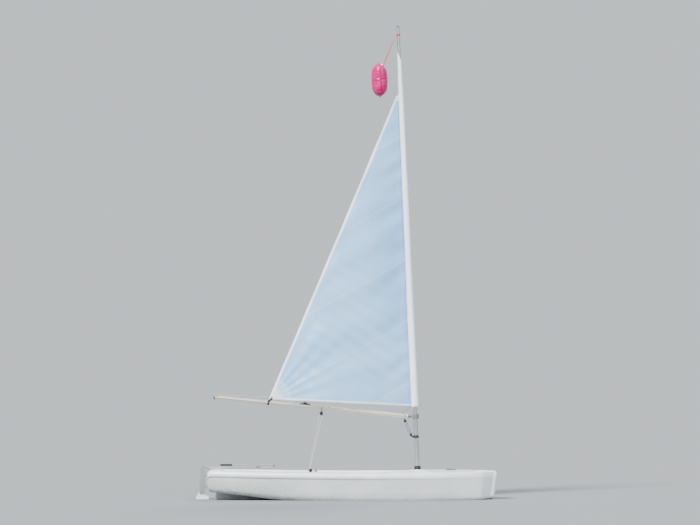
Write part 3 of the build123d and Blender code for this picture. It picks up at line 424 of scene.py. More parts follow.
def with_modifier(made, kind, **settings):
    """Adds a modifier and applies it at once, so the mesh holds its result."""
    modifier = made.modifiers.new(kind.title(), kind)
    for key, value in settings.items():
        setattr(modifier, key, value)
    return applied(made)


def place_piece(piece, body, slot, *replaced):
    """Says which body a piece rides on and hides the nodes it stands for; the finish it takes is not used."""
    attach(piece, body)
    if replaced:
        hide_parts(*replaced)


# Materials
def node(material, kind, inputs=(), output=0, **settings):
    """Adds one node with its settings and fills its sockets, listed in order or by name.

    Each is a number, a hex colour or another node's output. Returns one output, or all of them
    when output is None.
    """
    made = material.node_tree.nodes.new("ShaderNode" + kind)
    for key, value in settings.items():
        setattr(made, key, value)
    for key, value in inputs.items() if isinstance(inputs, dict) else enumerate(inputs):
        if isinstance(value, bpy.types.NodeSocket):
            material.node_tree.links.new(value, made.inputs[key])
        else:
            made.inputs[key].default_value = linear(value) if isinstance(value, str) else value
    return made.outputs if output is None else made.outputs[output]


def new_material(name, *grains):
    """An empty material, the Object coordinates of what wears it, and a noise for each grain,
    given as its size in millimetres and its detail."""
    material = bpy.data.materials.new(name)
    material.use_nodes = True
    material.node_tree.nodes.clear()
    place = node(material, "TexCoord", output="Object")
    noises = [node(material, "TexNoise", {"Vector": place, "Scale": 1000 / size, "Detail": detail})
              for size, detail in grains]
    return material, place, *noises


def ended(material, colour, tints, bumps, sockets):
    """Ends a material with its shader, whose other sockets are given.

    Each tint is laid over the colour by its share, and each bump, a height and its depth in
    metres, over the one before.
    """
    for share, tint in tints:
        colour = node(material, "Mix", {0: share, 6: colour, 7: tint}, 2, data_type="RGBA")
    relief = {}
    for height, depth in bumps:
        relief = {"Normal": node(material, "Bump", {"Height": height, "Distance": depth, **relief})}
    shader = node(material, "BsdfPrincipled", {"Base Color": colour, **relief, **sockets})
    node(material, "OutputMaterial", {"Surface": shader}, None)
    return material


def sines(m, *waves):
    """The product of sines, sin(2 pi a / length) for each wave's socket a and length in metres."""
    product = 1.0
    for value, length in waves:
        angle = node(m, "Math", [value, 2 * math.pi / length], operation="MULTIPLY")
        sine = node(m, "Math", [angle], operation="SINE")
        product = node(m, "Math", [product, sine], operation="MULTIPLY")
    return product


def diagonals(m, u, v):
    """The coordinates along both diagonals of u and v: their sum and their difference, each the
    square root of two longer than the true distance."""
    return [node(m, "Math", [u, v], operation=way) for way in ("ADD", "SUBTRACT")]


def polyethylene():
    """Rotationally moulded polyethylene: a waxy satin white whose skin ripples a little.

    Scuffs run along the hull, and a green darkening climbs from the waterline towards the stern,
    partly weed and dirt and partly painted shade and water reflection; dust lies in the well, and
    the well's floor has moulded non-slip lumps in diagonal rows that repeat every 30 mm.
    """
    m, place, broad, blotch, ripple = new_material("rotomoulded_polyethylene", (420, 2), (60, 4), (45, 2))
    x, y, z = node(m, "SeparateXYZ", [place], None)
    upward = node(m, "SeparateXYZ", [node(m, "NewGeometry", output="Normal")], "Z")
    tone = node(m, "MapRange", [broad, 0.35, 0.65])
    # Fine scuffs, drawn out along the hull
    drawn = node(m, "Mapping", {"Vector": place, "Scale": (1000 / 260, 1000 / 9, 1000 / 9)})
    scuff = node(m, "TexNoise", {"Vector": drawn, "Scale": 1, "Detail": 6, "Roughness": 0.7})
    scuffed = node(m, "MapRange", [scuff, 0.62, 0.76])
    paler = node(m, "Math", [scuffed, 0.55], operation="MULTIPLY")
    rougher = node(m, "Math", [scuffed, 0.25], operation="MULTIPLY")
    # Weed and dirt with painted shade and water reflection, a darker green: low down everywhere, and higher
    # towards the stern, on the outside only
    low = node(m, "MapRange", [z, 0.01, 0.14, 1, 0])
    aft = node(m, "MapRange", [x, 0.5, -2.25, 0.35, 1])
    low = node(m, "Math", [low, aft], operation="MULTIPLY")
    high = node(m, "MapRange", [z, 0.08, 0.38, 1, 0])
    stern = node(m, "MapRange", [x, -0.4, -2.2, 0, 0.95])
    high = node(m, "Math", [high, stern], operation="MULTIPLY")
    waterline_dirt_and_shade = node(m, "Math", [low, high], operation="MAXIMUM")
    topsides = node(m, "MapRange", [node(m, "Math", [y], operation="ABSOLUTE"), 0.35, 0.45])
    transom = node(m, "MapRange", [x, -2.2, -2.26])
    outside = node(m, "Math", [topsides, transom], operation="MAXIMUM")
    runs = node(m, "Mapping", {"Vector": place, "Scale": (1000 / 22, 1000 / 22, 1000 / 240)})
    streak = node(m, "TexNoise", {"Vector": runs, "Scale": 1, "Detail": 3})
    streaked = node(m, "MapRange", [streak, 0.35, 0.6, 0.65, 1])
    patchy = node(m, "MapRange", [blotch, 0.3, 0.62, 0.6, 1])
    for share in (outside, patchy, streaked):
        waterline_dirt_and_shade = node(m, "Math", [waterline_dirt_and_shade, share], operation="MULTIPLY")
    # Dust that gathers on the well's floor, and the floor's non-slip lumps: 30 mm along a diagonal is
    # 42 mm of x + y
    level = node(m, "MapRange", [upward, 0.8, 0.98])
    floor = node(m, "Math", [level, node(m, "MapRange", [z, 0.24, 0.19])], operation="MULTIPLY")
    dusty = node(m, "MapRange", [blotch, 0.35, 0.7, 0.15, 0.55])
    dust = node(m, "Math", [floor, dusty], operation="MULTIPLY")
    pattern = sines(m, *((diagonal, 0.042) for diagonal in diagonals(m, x, y)))
    lumps = node(m, "Math", [node(m, "MapRange", [pattern, 0.1, 0.45]), floor], operation="MULTIPLY")
    rough = node(m, "MapRange", [blotch, 0.3, 0.7, 0.28, 0.42])
    rough = node(m, "Math", [rough, rougher], operation="ADD")
    return ended(m, "#DAE1E3", ((tone, "#E9EDED"), (paler, "#AEB8B9"), (waterline_dirt_and_shade, "#56613F"), (dust, "#A39B86")),
                 ((ripple, 0.0009), (scuff, 0.00015), (lumps, 0.0022)),
                 {"Roughness": rough, "IOR": 1.51, "Specular IOR Level": 0.45})


def moulded_plastic(name, light, dark, rough, grain_mm, depth_mm, lozenge_mm=0):
    """Moulded plastic: an even colour, slightly clouded, with the mould's fine matt texture and
    edges and faces rubbed rougher in patches; a grip has raised lozenges in diagonal rows that
    repeat at that distance, and is greyer between them."""
    m, place, cloud, wear, fine = new_material(name, (grain_mm * 30, 3), (grain_mm * 9, 5), (grain_mm, 2))
    tints = [(node(m, "MapRange", [cloud, 0.35, 0.65]), dark)]
    bumps = [(fine, depth_mm / 1000)]
    roughness = node(m, "MapRange", [wear, 0.55, 0.75, rough, rough + 0.18])
    if lozenge_mm:
        x, y, _ = node(m, "SeparateXYZ", [place], None)
        repeat = lozenge_mm / 1000 * math.sqrt(2)
        lump = sines(m, *((diagonal, repeat) for diagonal in diagonals(m, x, y)))
        raised = node(m, "MapRange", [lump, 0.05, 0.35])
        # Greyer between the raised lozenges
        tints.append((node(m, "MapRange", [raised, 0, 1, 0.45, 0]), "#8E979A"))
        bumps.append((raised, 0.0012))
    return ended(m, light, tints, bumps, {"Roughness": roughness, "IOR": 1.5})


def anodised(name, light, dark, turn, stretch, rough):
    """Drawn and anodised aluminium tube: a soft grey metal with faint die lines along it, 2 mm
    apart so that they show, and water spots dulled by salt."""
    m, place, spots = new_material(name, (26, 5))
    drawn = node(m, "Mapping", {"Vector": place, "Rotation": turn, "Scale": stretch}, vector_type="TEXTURE")
    lines = node(m, "TexNoise", {"Vector": drawn, "Scale": 1, "Detail": 3})
    tone = node(m, "MapRange", [spots, 0.3, 0.8])
    faint = node(m, "MapRange", [lines, 0.45, 0.75, 0, 0.3])
    salt = node(m, "MapRange", [spots, 0.4, 0.7, rough, rough + 0.14])
    return ended(m, light, ((tone, dark), (faint, "#8F9294")), [(lines, 0.00005)],
                 {"Roughness": salt, "Metallic": 0.85})


def polished_steel():
    """Polished stainless steel: bright, with fine random hairlines and tea-coloured spots."""
    m, _, spots, hair = new_material("polished_stainless_steel", (11, 5), (1.4, 3))
    tea = node(m, "MapRange", [spots, 0.6, 0.8, 0, 0.4])
    roughness = node(m, "MapRange", [hair, 0.3, 0.7, 0.16, 0.32])
    return ended(m, "#CDCED0", [(tea, "#9A7F63")], [(hair, 0.00003)],
                 {"Roughness": roughness, "Metallic": 1.0})


def webbing(name, light, dark):
    """Woven polyester webbing: ribs 2.4 mm apart across the strap and ends 3.2 mm apart along
    it, coarser than life so that they show, with a fuzzy dull surface that has faded."""
    m, _, fade = new_material(name, (45, 4))
    u, v, _ = node(m, "SeparateXYZ", [node(m, "UVMap", uv_map="UVMap")], None)
    weave = sines(m, (u, 0.0024), (v, 0.0032))
    faded = node(m, "MapRange", [fade, 0.3, 0.7])
    hollow = node(m, "MapRange", [weave, -1, 1, 0.3, 0])
    return ended(m, light, ((faded, dark), (hollow, dark)), [(weave, 0.0005)],
                 {"Roughness": 0.78, "Sheen Weight": 0.2, "Sheen Roughness": 0.5})


def braid(name, light, fleck, radius):
    """Plaited rope: strands that cross at a slant round the core, with a coloured fleck in one
    strand of four and handling dirt."""
    m, _, soil = new_material(name, (30, 4))
    u, v, _ = node(m, "SeparateXYZ", [node(m, "UVMap", uv_map="UVMap")], None)
    right, left = diagonals(m, u, v)
    strand = radius * 0.84
    plait = sines(m, (right, strand), (left, strand))
    pick = node(m, "MapRange", [sines(m, (right, 4 * strand)), 0.5, 0.75])
    dirty = node(m, "MapRange", [soil, 0.4, 0.8, 0, 0.3])
    return ended(m, light, ((pick, fleck), (dirty, "#6E6A60")), [(plait, 0.0007)], {"Roughness": 0.74})


def sailcloth():
    """Woven polyester sailcloth, resin finished: crisp and faintly shiny.

    The cloth is white. A single layer is painted pale blue, clouded at random, for the sky seen
    through it and the shade on it, and it is tinted back to white where it is doubled at the leech
    tape, hem, seams and corner patches and where it is rolled. The map's axes are the flat cloth's
    own, in metres.
    """
    m, place, cloud, soil = new_material("resin_finished_sailcloth", (900, 3), (260, 5))
    flat = node(m, "UVMap", uv_map="UVMap")
    leech, foot, rolled, clew = (node(m, "Attribute", output="Fac", attribute_name=name)
                                 for name in ("from_leech", "from_foot", "rolled", "from_clew"))
    # Seams at right angles to the leech, one panel's width apart
    up_leech = node(m, "VectorMath", [flat, (LEECH_SIN, LEECH_COS, 0)], "Value", operation="DOT_PRODUCT")
    shifted = node(m, "Math", [up_leech, 0.11], operation="ADD")
    seam = node(m, "Math", [shifted, PANEL_WIDTH / 2], operation="PINGPONG")
    # How far in each kind of doubling reaches, and how white it is: tape, hem, seams and patches
    layers = ((leech, 0.036, 0.9), (foot, 0.035, 0.8), (seam, 0.012, 0.17), (clew, 0.36, 0.22),
              (clew, 0.22, 0.5), (clew, 0.12, 0.8))
    doubled = node(m, "Math", [rolled, 0.95], operation="MULTIPLY")
    for edge, width, white in layers:
        inside = node(m, "MapRange", [edge, width, width + 0.002, white, 0])
        doubled = node(m, "Math", [doubled, inside], operation="MAXIMUM")
    # The single layer's pale blue base and blue clouding are painted sky light and shade on white cloth;
    # doubled and rolled cloth is tinted back to white
    tints = [(node(m, "MapRange", [cloud, 0.3, 0.7]), "#96C1E5"), (doubled, "#E9EFF3")]
    # A row of stitches inside each tape and seam
    for edge, inset, width in ((seam, 0.008, 0.0012), (leech, 0.031, 0.0016), (foot, 0.031, 0.0014)):
        off = node(m, "Math", [edge, inset], operation="SUBTRACT")
        off = node(m, "Math", [off], operation="ABSOLUTE")
        tints.append((node(m, "MapRange", [off, width / 2, width, 0.35, 0]), "#7C93AB"))
    soiled = node(m, "MapRange", [soil, 0.5, 0.75])
    low = node(m, "MapRange", [foot, 0, 0.9, 0.3, 0])
    tints.append((node(m, "Math", [soiled, low], operation="MULTIPLY"), "#B1B3A8"))
    turn = (0, math.radians(-52), 0)
    drawn = node(m, "Mapping", {"Vector": place, "Rotation": turn, "Scale": (0.060, 0.060, 0.240)},
                 vector_type="TEXTURE")
    crumple = node(m, "TexNoise", {"Vector": drawn, "Scale": 1, "Detail": 4, "Roughness": 0.6})
    # The weave's threads stand 0.44 mm apart, as a wave repeats every pi / 10 of its coordinate
    threads = node(m, "Mapping", {"Vector": flat, "Scale": (1000 / 1.4,) * 3})
    weave = node(m, "TexWave", {"Vector": threads, "Scale": 1, "Distortion": 0.4}, "Fac")
    sheen = node(m, "MapRange", [crumple, 0.3, 0.7, 0.42, 0.56])
    return ended(m, "#7EB0DD", tints, ((crumple, 0.004), (weave, 0.00005), (doubled, 0.0008)),
                 {"Roughness": sheen, "Sheen Weight": 0.05})


def vinyl():
    """Welded vinyl, inflated: a glossy fluorescent pink that the sun has faded in patches, with
    fine creases and a little grime."""
    m, _, fade, specks, creases = new_material("welded_fluorescent_vinyl", (110, 3), (18, 6), (22, 4))
    tone = node(m, "MapRange", [fade, 0.35, 0.7])
    grime = node(m, "MapRange", [specks, 0.62, 0.8, 0, 0.25])
    gloss = node(m, "MapRange", [fade, 0.3, 0.7, 0.28, 0.4])
    return ended(m, "#A80058", ((tone, "#C40A70"), (grime, "#B02A68")), [(creases, 0.0009)],
                 {"Roughness": gloss, "Specular IOR Level": 0.35})


def make_materials():
    """One material for each finish of the real boat."""
    mast_turn = (0, -MAST_RAKE, 0)
    boom_turn = (0, BOOM_RISE - MAST_RAKE, REST_SWING)
    mast_lines, boom_lines = (0.002, 0.002, 0.180), (0.180, 0.002, 0.002)
    silver, cream = ("#B9BCBE", "#A9ACAF"), ("#DDD6C4", "#D3CBB8")
    sheet, control, dark = (ROPE_RADII[kind] for kind in ("sheet_rope", "control_rope", "dark_rope"))
    return {
        "hull_plastic": polyethylene(),
        "blade_plastic": moulded_plastic("gelcoated_glass_fibre", "#E4E7E6", "#D6DAD9", 0.22, 3, 0.05),
        "grey_plastic": moulded_plastic("grey_moulded_nylon", "#6E7274", "#5B5F62", 0.46, 1.2, 0.12),
        "black_nylon": moulded_plastic("glass_filled_black_nylon", "#17181A", "#232528", 0.48, 0.9, 0.12),
        "grip_foam": moulded_plastic("eva_grip_foam", "#1E2022", "#2B2D2F", 0.85, 1.5, 0.35),
        "deck_grip": moulded_plastic("moulded_deck_grip", "#C3CBCE", "#B6BEC1", 0.6, 4.0, 0.3, lozenge_mm=24),
        "anodised_alloy": anodised("anodised_aluminium_tube", *silver, mast_turn, mast_lines, 0.30),
        "boom_alloy": anodised("dulled_aluminium_boom", *cream, boom_turn, boom_lines, 0.42),
        "stainless_steel": polished_steel(),
        "black_webbing": webbing("black_polyester_webbing", "#1A1B1D", "#26282B"),
        "red_webbing": webbing("faded_red_webbing", "#B81614", "#CC2A22"),
        "sailcloth": sailcloth(),
        "pink_vinyl": vinyl(),
        "sheet_rope": braid("plaited_mainsheet", "#E4E2DA", "#274C8C", sheet),
        "control_rope": braid("plaited_control_line", "#D9DDE0", "#1F2226", control),
        "dark_rope": braid("dark_control_line", "#24262A", "#7C8084", dark),
    }


# Sail
def roll_radius_at(h, v):
    """Outer radius of the rolled cloth: straight from its foot to its top."""
    share = np.clip((h - v.tack_height) / (v.roll_top - v.tack_height), 0, 1)
    return ROLL_RADII[0] + share * (ROLL_RADII[1] - ROLL_RADII[0])


def make_sail(v):
    """One cloth over (c, t), c across from the luff's edge to the leech and t up.

    The first columns are a spiral round the mast, whose radius grows with the turn w from the
    mast's to the roll's, r = r0 + (R - r0) w. The others are the panel: a chord from where the
    roll lets it go to the leech, with an arched camber 4 k s (1 - s) of its length and the
    creases on top. Each column's foot and head are straight lines of the flat cloth.
    """
    wound, spread, up = 84, 112, 230
    t = np.linspace(0, 1, up)[:, None]
    w = np.concatenate([np.linspace(0, 1, wound), np.ones(spread - 1)])[None]
    s = np.concatenate([np.zeros(wound), np.linspace(0, 1, spread)[1:]])[None]
    rise = (v.head_height - v.clew_height) / v.clew_aft
    foot_h = v.tack_height + v.foot_rise * (w - s) + s * (v.clew_height - v.tack_height)
    rolled_up = min(v.turns * MEAN_TURN * rise, v.roll_top - v.head_height - v.foot_rise)
    top_h = v.head_height + v.foot_rise * (1 - s) + (1 - w) * rolled_up
    h = foot_h + t * (top_h - foot_h)
    outer = roll_radius_at(h, v)
    inner = mast_radius_at(h) + v.cloth
    # The leech, and the angle at which the panel leaves the roll towards it
    leech_share = np.clip((h - v.clew_height) / (v.head_height - v.clew_height), -0.1, 1)
    reach = v.clew_aft + leech_share * (HEAD_AFT - v.clew_aft)
    turn = v.twist * leech_share
    chord_turn = np.arctan2(reach * np.sin(turn) + outer, reach)
    leave = math.pi / 2 + np.arctan(4 * v.camber) * smooth(0.0, 0.5, reach) + CHORD_SHARE * chord_turn
    # Long soft folds in the roll, the same on every layer so that none cross
    angle = leave - 2 * math.pi * v.turns * (1 - w)
    folds = np.sin(3 * angle + 2.1 * h) + 0.7 * np.sin(5 * angle - 3.7 * h + 1.0)
    folds += 0.8 * np.sin(2 * angle + 14.0 * h) * smooth(0.2, 0.9, np.sin(1.7 * h + angle))
    radius = inner + (outer - inner) * w + v.roll_fold * (folds - 1.4) * smooth(0.1, 0.7, w)
    # The panel, in level slices: along its chord, and out to leeward of it
    start = around(radius, leave)
    chord = around(-reach, turn) - start
    length = np.linalg.norm(chord, axis=-1)
    ahead = chord / length[..., None]
    leeward = points_of(-ahead[..., 1], ahead[..., 0])
    d = s * length
    belly = v.camber * length * 4 * s * (1 - s) * (1 + DRAFT_FORWARD * (0.5 - s))
    out = belly + v.crease * sail_creases(s, h - v.clew_height, h - foot_h, d, length)
    panel = start + ahead * d[..., None] + leeward * out[..., None]
    level = np.where((s > 0)[..., None], panel, around(radius, angle))
    points = rig_place(np.concatenate([level, h[..., None]], axis=-1))
    # The flat cloth's own axes: out from the luff's edge and up
    across = np.zeros_like(h)
    across[:, 1:] = np.cumsum(np.linalg.norm(np.diff(level, axis=1), axis=-1), axis=1)
    slope = math.atan(v.clew_aft / (v.head_height - v.clew_height))
    from_edge = np.linalg.norm(points[:, -1:] - points, axis=-1)
    attributes = {
        "from_leech": np.minimum(from_edge * math.cos(slope), (top_h - h) * math.sin(slope)),
        "from_foot": h - foot_h,
        "rolled": np.broadcast_to(s == 0, h.shape),
        "from_clew": np.linalg.norm(points - points[0, -1], axis=-1),
    }
    cloth = surface("sail_cloth", points, uv=points_of(across, h), attributes=attributes)
    finish(cloth, "sailcloth")
    with_modifier(cloth, "SOLIDIFY", thickness=v.cloth, offset=0.0, use_rim=True)
    area = float(((across[1:, 1:] - across[1:, :-1]) * np.abs(h[1:, 1:] - h[:-1, 1:])).sum())
    flat_size = (float(across[0, -1]), v.roll_top - v.tack_height)
    return cloth, area, flat_size, clew_eye(points, across, h, foot_h)


def clew_eye(points, across, h, foot_h):
    """The cloth's point a little in from the clew, and the direction at right angles to it."""
    off = np.hypot(across[:, -1:] - across - CLEW_EYE_IN, h - foot_h - CLEW_EYE_UP)
    row, column = np.unravel_index(np.argmin(off), off.shape)
    side = np.cross(points[row + 2, column] - points[row - 2, column],
                    points[row, column + 2] - points[row, column - 2])
    return points[row, column], side / np.linalg.norm(side)


def sail_creases(s, low, above, d, length):
    """How far creases stand off the smooth sail, to leeward, as a share of the full depth.

    Each family is a sine across its own lines times a smooth window: slanting ones in the
    lower half that climb from the clew towards the mast, broader ones that cross them up to the
    head, a fan from the clew, a girt beside the roll, the leech's slow flutter and the slack
    foot. low is the height above the clew, above that above the foot, d the distance along the
    chord and length the chord's.
    """
    aft = length - d
    away = np.hypot(aft, low)
    wander = 0.9 * np.sin(2.3 * low + 1.7 * d) + 0.6 * np.sin(4.3 * d - 1.3 * low)
    patches = 0.5 + 0.5 * np.sin(3.1 * low - 2.6 * d + 0.6) * np.sin(1.9 * d + 1.1 * low)
    # Slanting creases, a hand's breadth apart
    window = smooth(-0.10, 0.35, low) * smooth(2.9, 1.0, low) * smooth(0.02, 0.2, s) * smooth(1.0, 0.8, s)
    slant = np.sin(2 * math.pi * (0.84 * low - 0.54 * d) / 0.21 + wander)
    creases = 1.0 * slant * window * (0.25 + 0.75 * patches)
    # Broader ones that cross them, up to the head
    window = smooth(-0.1, 0.5, low) * smooth(4.6, 2.6, low) * smooth(0, 0.2, s) * smooth(1, 0.85, s)
    creases += 1.3 * np.sin(2 * math.pi * (0.93 * low + 0.36 * d) / 0.58 + 0.7 * wander) * window
    # The fan from the clew
    bearing = np.arctan2(low + 0.05, np.maximum(aft, 1e-3))
    fan = np.sin(bearing * 21 + 0.8 * np.sin(2.6 * away)) * smooth(0.08, 0.35, away) * smooth(1.9, 0.5, away)
    creases += 0.7 * fan * smooth(0, 0.12, d)
    # A girt beside the roll, where its uneven turns pull
    girt = np.sin(2 * math.pi * (low + 0.55 * d) / 0.34 + 0.8 * np.sin(1.9 * low))
    creases += 0.9 * girt * smooth(0.0, 0.05, d) * smooth(0.55, 0.12, d) * (0.4 + 0.6 * patches)
    # The leech's flutter
    creases += 1.6 * np.sin(2 * math.pi * low / 0.83 + 0.4) * smooth(0.86, 1.0, s) * smooth(0.15, 0.6, length)
    # The slack foot
    slack = np.sin(2 * math.pi * d / 0.7 + 0.8) + 0.5 * np.sin(2 * math.pi * d / 0.31)
    creases += 1.2 * slack * smooth(0.30, 0.0, above) * np.sin(math.pi * s)
    return creases * smooth(0.03, 0.35, length)


# Float at the masthead
def blow_up(bag, v):
    """Fills the bag with air in a cloth simulation, and leaves its mesh in the shape it takes."""
    cloth = bag.modifiers.new("Air", "CLOTH")
    cloth.collision_settings.use_collision = False
    cloth.point_cache.frame_end = FLOAT_FRAMES
    skin = cloth.settings
    skin.quality = 6
    skin.mass = 0.25
    skin.tension_stiffness = skin.compression_stiffness = v.stretch
    skin.shear_stiffness = v.stretch / 2
    skin.bending_stiffness = v.bending
    skin.tension_damping = skin.compression_damping = skin.shear_damping = 12
    skin.bending_damping = 1
    skin.air_damping = 4
    skin.use_pressure = True
    skin.uniform_pressure_force = v.pressure
    skin.effector_weights.gravity = 0
    for step in range(1, FLOAT_FRAMES + 1):
        bpy.context.scene.frame_set(step)
    applied(bag)
    bpy.context.scene.frame_set(1)


def vertex_places(mesh):
    """The places of a mesh's vertices, one row each."""
    places = np.empty(len(mesh.vertices) * 3)
    mesh.vertices.foreach_get("co", places)
    return places.reshape(-1, 3)


def make_float(v):
    """Two sheets welded at their edge and blown up, over (a, b) both from -1 to 1.

    With m the larger of |a| and |b|, a sheet is drawn to the superellipse |y|^n + |z|^n = m^n
    and stands D (1 - m^4)^0.5 off the middle. It starts wider and flatter than the bag, so
    the air draws its edge in and puckers the weld, and ripples of a few millimetres at the edge
    say where. No point moves further than the cap.
    """
    a = np.linspace(-1, 1, 54)[:, None]
    b = np.linspace(-1, 1, 78)[None]
    m = np.maximum(np.abs(a), np.abs(b))
    norm = (np.abs(a) ** v.squareness + np.abs(b) ** v.squareness) ** (1 / v.squareness)
    drawn = m / np.maximum(norm, 1e-9)
    half = FLOAT_SIZE / 2 * (v.start, 1 + v.slack, 1 + v.slack / 2)
    y, z = a * drawn * half[1], b * drawn * half[2]
    turn = np.arctan2(b * drawn, a * drawn)
    wave = 0.6 * np.sin(31 * turn) + 0.5 * np.sin(23 * turn + 1) + 0.4 * np.sin(13 * turn + 2)
    ripples = v.ripple * wave * m ** 8
    thick = half[0] * np.sqrt(np.clip(1 - m ** 4, 0, 1))
    sheets = [points_of(side * thick + ripples, y, z) for side in (1, -1)]
    bag = closed(surface("float_bag", sheets, attributes={"reach": [m, m]}), "pink_vinyl", 1e-5)
    start = vertex_places(bag.data)
    reach = np.empty(len(start))
    bag.data.attributes["reach"].data.foreach_get("value", reach)
    bag.data.attributes.remove(bag.data.attributes["reach"])
    blow_up(bag, v)
    moved = vertex_places(bag.data) - start
    far = np.linalg.norm(moved, axis=1)[:, None]
    places = start + moved * np.minimum(1, FLOAT_CAP / np.maximum(far, 1e-9))
    # The skin is fitted to the float's size, inside the flange
    low, high = places.min(axis=0), places.max(axis=0)
    room = FLOAT_SIZE - (0.004, 2 * v.flange + 0.002, 2 * v.flange + 0.002)
    places = (places - (low + high) / 2) / (high - low) * room
    bag.data.vertices.foreach_set("co", rig_place(places + FLOAT_PLACE).ravel())
    bag.data.update()
    with_modifier(bag, "SUBSURF", levels=1, render_levels=1)
    return joined("float_bag", [bag, weld_flange(places[reach > 0.999], v)])


def weld_flange(edge, v):
    """The flat edge outside the weld: a thin section that stands outwards all round the bag, from
    7 mm inside the weld to the flange's width outside it."""
    edge = edge[np.argsort(np.arctan2(edge[:, 2] / FLOAT_SIZE[2], edge[:, 1] / FLOAT_SIZE[1]))]
    out = np.cross(np.roll(edge, -1, axis=0) - np.roll(edge, 1, axis=0), (1, 0, 0))
    out /= np.linalg.norm(out, axis=1)[:, None]
    section = np.array([[-0.007, -0.0012], [v.flange - 0.002, -0.0015], [v.flange, 0],
                        [v.flange - 0.002, 0.0015], [-0.007, 0.0012]])
    rim = edge[:, None] + section[:, :1] * out[:, None] + section[:, 1:] * (1.0, 0, 0)
    rim = rig_place(np.vstack([rim, rim[:1]]) + FLOAT_PLACE)
    return closed(surface("float_flange", rim, close=True), "pink_vinyl")


def make_float_fittings():
    """The float's valve, and the tab with an eyelet at its top."""
    fore, _, up = rig_axes()
    valve = [[0, 0.011], [0.006, 0.011], [0.0075, 0.0095], [0.0075, 0.004], [0.014, 0.0015],
             [0.016, -0.004], [0, -0.004]]
    low_aft = rig_place(FLOAT_PLACE + (-0.118, -0.02, -0.13))
    top = rig_place(FLOAT_PLACE + (0, 0, FLOAT_SIZE[2] / 2))
    t = np.linspace(0, 1, 14)
    tab = top + (-0.070 + 0.066 * t[:, None]) * up
    narrow = 1 - 0.35 * smooth(0.5, 1.0, t)
    return [turned("float_valve", valve, low_aft, -fore, "pink_vinyl"),
            ring("float_eyelet", top - 0.022 * up, fore, 0.010, 0.0028),
            sweep("float_tab", tab, strap_profile(0.058, 0.0046), (0, 1, 0), "pink_vinyl", narrow)]


def make_float_straps():
    """Two webbing strands from the masthead band to the float's top, each a little slack, and
    the band's buckled turns."""
    radius = float(mast_radius_at(FLOAT_STRAP_H))
    t = np.linspace(0, 1, 48)
    sag = np.sin(math.pi * t)
    parts = []
    for side, slack_aft, slack_down in ((1, 0.012, 0.014), (-1, 0.012 * 1.4, 0.014 * 1.6)):
        start = np.array([-radius - 0.005, side * 0.014, FLOAT_STRAP_H])
        end = FLOAT_PLACE + FLOAT_STRAND_END * (1, side, 1)
        path = start + t[:, None] * (end - start)
        path -= points_of(slack_aft * sag, 0, slack_down * sag)
        twist = side * 0.5 * sag
        across = points_of(np.sin(twist), np.cos(twist), 0)
        parts.append(sweep("strand", rig_place(path), strap_profile(0.024, 0.0028), across, "red_webbing"))
    angle = np.linspace(0.15, 4 * math.pi + 0.45, 130)
    out = radius + 0.0022 + 0.0028 * (angle - 0.15) / 2 / math.pi
    band = rig_place(around(out, angle, FLOAT_STRAP_H))
    parts.append(sweep("band", band, strap_profile(0.024, 0.0022), rig_axes()[2], "red_webbing"))
    return parts


def make_float_patch(bag, side):
    """A patch of (r, a) welded over the end of a strand: a round-cornered disc of radius
    R (|cos a|^4 + |sin a|^4)^(-1/4), wrapped onto the bag's skin."""
    end = FLOAT_STRAND_END * (1, side, 1)
    outwards = end / np.linalg.norm(end)
    wide = np.cross(outwards, (1, 0, 0))
    wide /= np.linalg.norm(wide)
    high = np.cross(outwards, wide)
    r = np.linspace(0, 1, 12)[:, None, None]
    a = np.linspace(0, 2 * math.pi, 48, endpoint=False)[:, None]
    reach = 0.030 * r * (np.abs(np.cos(a)) ** 4 + np.abs(np.sin(a)) ** 4) ** (-1 / 4)
    disc = reach * (np.cos(a) * wide + 1.2 * np.sin(a) * high) + 0.02 * outwards
    made = surface("float_patch", rig_place(disc + FLOAT_PLACE + end), close=True)
    closed(made, "pink_vinyl", 1e-5)
    with_modifier(made, "SHRINKWRAP", target=bag, wrap_method="NEAREST_SURFACEPOINT",
                  wrap_mode="ABOVE_SURFACE", offset=0.0012)
    return with_modifier(made, "SOLIDIFY", thickness=0.0024, offset=0.0)


# Webbing in the well and on the boom
def make_toe_strap(side):
    """Webbing from the well's aft wall forward, down to the floor and under its anchor plate."""
    low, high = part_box("toe_straps")
    route = ((low[0] + 0.004, 0.097), (-1.1, 0.091), (-0.17, 0.097), (0.050, 0.004),
             (high[0] - 0.002, 0.0032))
    path = even_path([(x, side * TOE_STRAP_OUT, WELL_FLOOR + z) for x, z in route], 0.012, 5)
    return sweep("toe_strap", path, strap_profile(0.050, 0.0038), (0, 1, 0), "black_webbing")


def make_toe_sleeve(side):
    """A padded sleeve round the strap where the feet hook under it, its ends drawn in."""
    t = np.linspace(0, 1, 60)
    z = WELL_FLOOR + 0.0945 - 0.0035 * np.sin(math.pi * t)
    path = points_of(-1.55 + 1.05 * t, side * TOE_STRAP_OUT, z)
    ends = np.minimum(t, 1 - t)
    swell = 0.86 + 0.14 * smooth(0.0, 0.03, ends) + 0.02 * np.sin(2 * math.pi * t * 9)
    return sweep("toe_sleeve", path, box_profile(0.060, 0.0105, 0.005), (0, 1, 0), "grip_foam", swell)


def make_tack_strap():
    """The strap that holds the roll's foot down to the boom, its middle sewn double."""
    start = np.array([-0.064, 0, 1.011])
    end = from_boom([0.150, 0, BOOM_RADIUS + 0.002])
    t = np.linspace(0, 1, 30)[:, None]
    path = start + t * (end - start) + 0.003 * np.sin(math.pi * t) * (1, 0, 0)
    over = path[8:22] + (-0.0045, 0, -0.002)
    starboard = boom_axes()[1]
    return [sweep("tack_webbing", rig_place(path), strap_profile(0.026, 0.0040), starboard, "black_webbing"),
            sweep("tack_ply", rig_place(over), strap_profile(0.024, 0.0030), starboard, "black_webbing")]


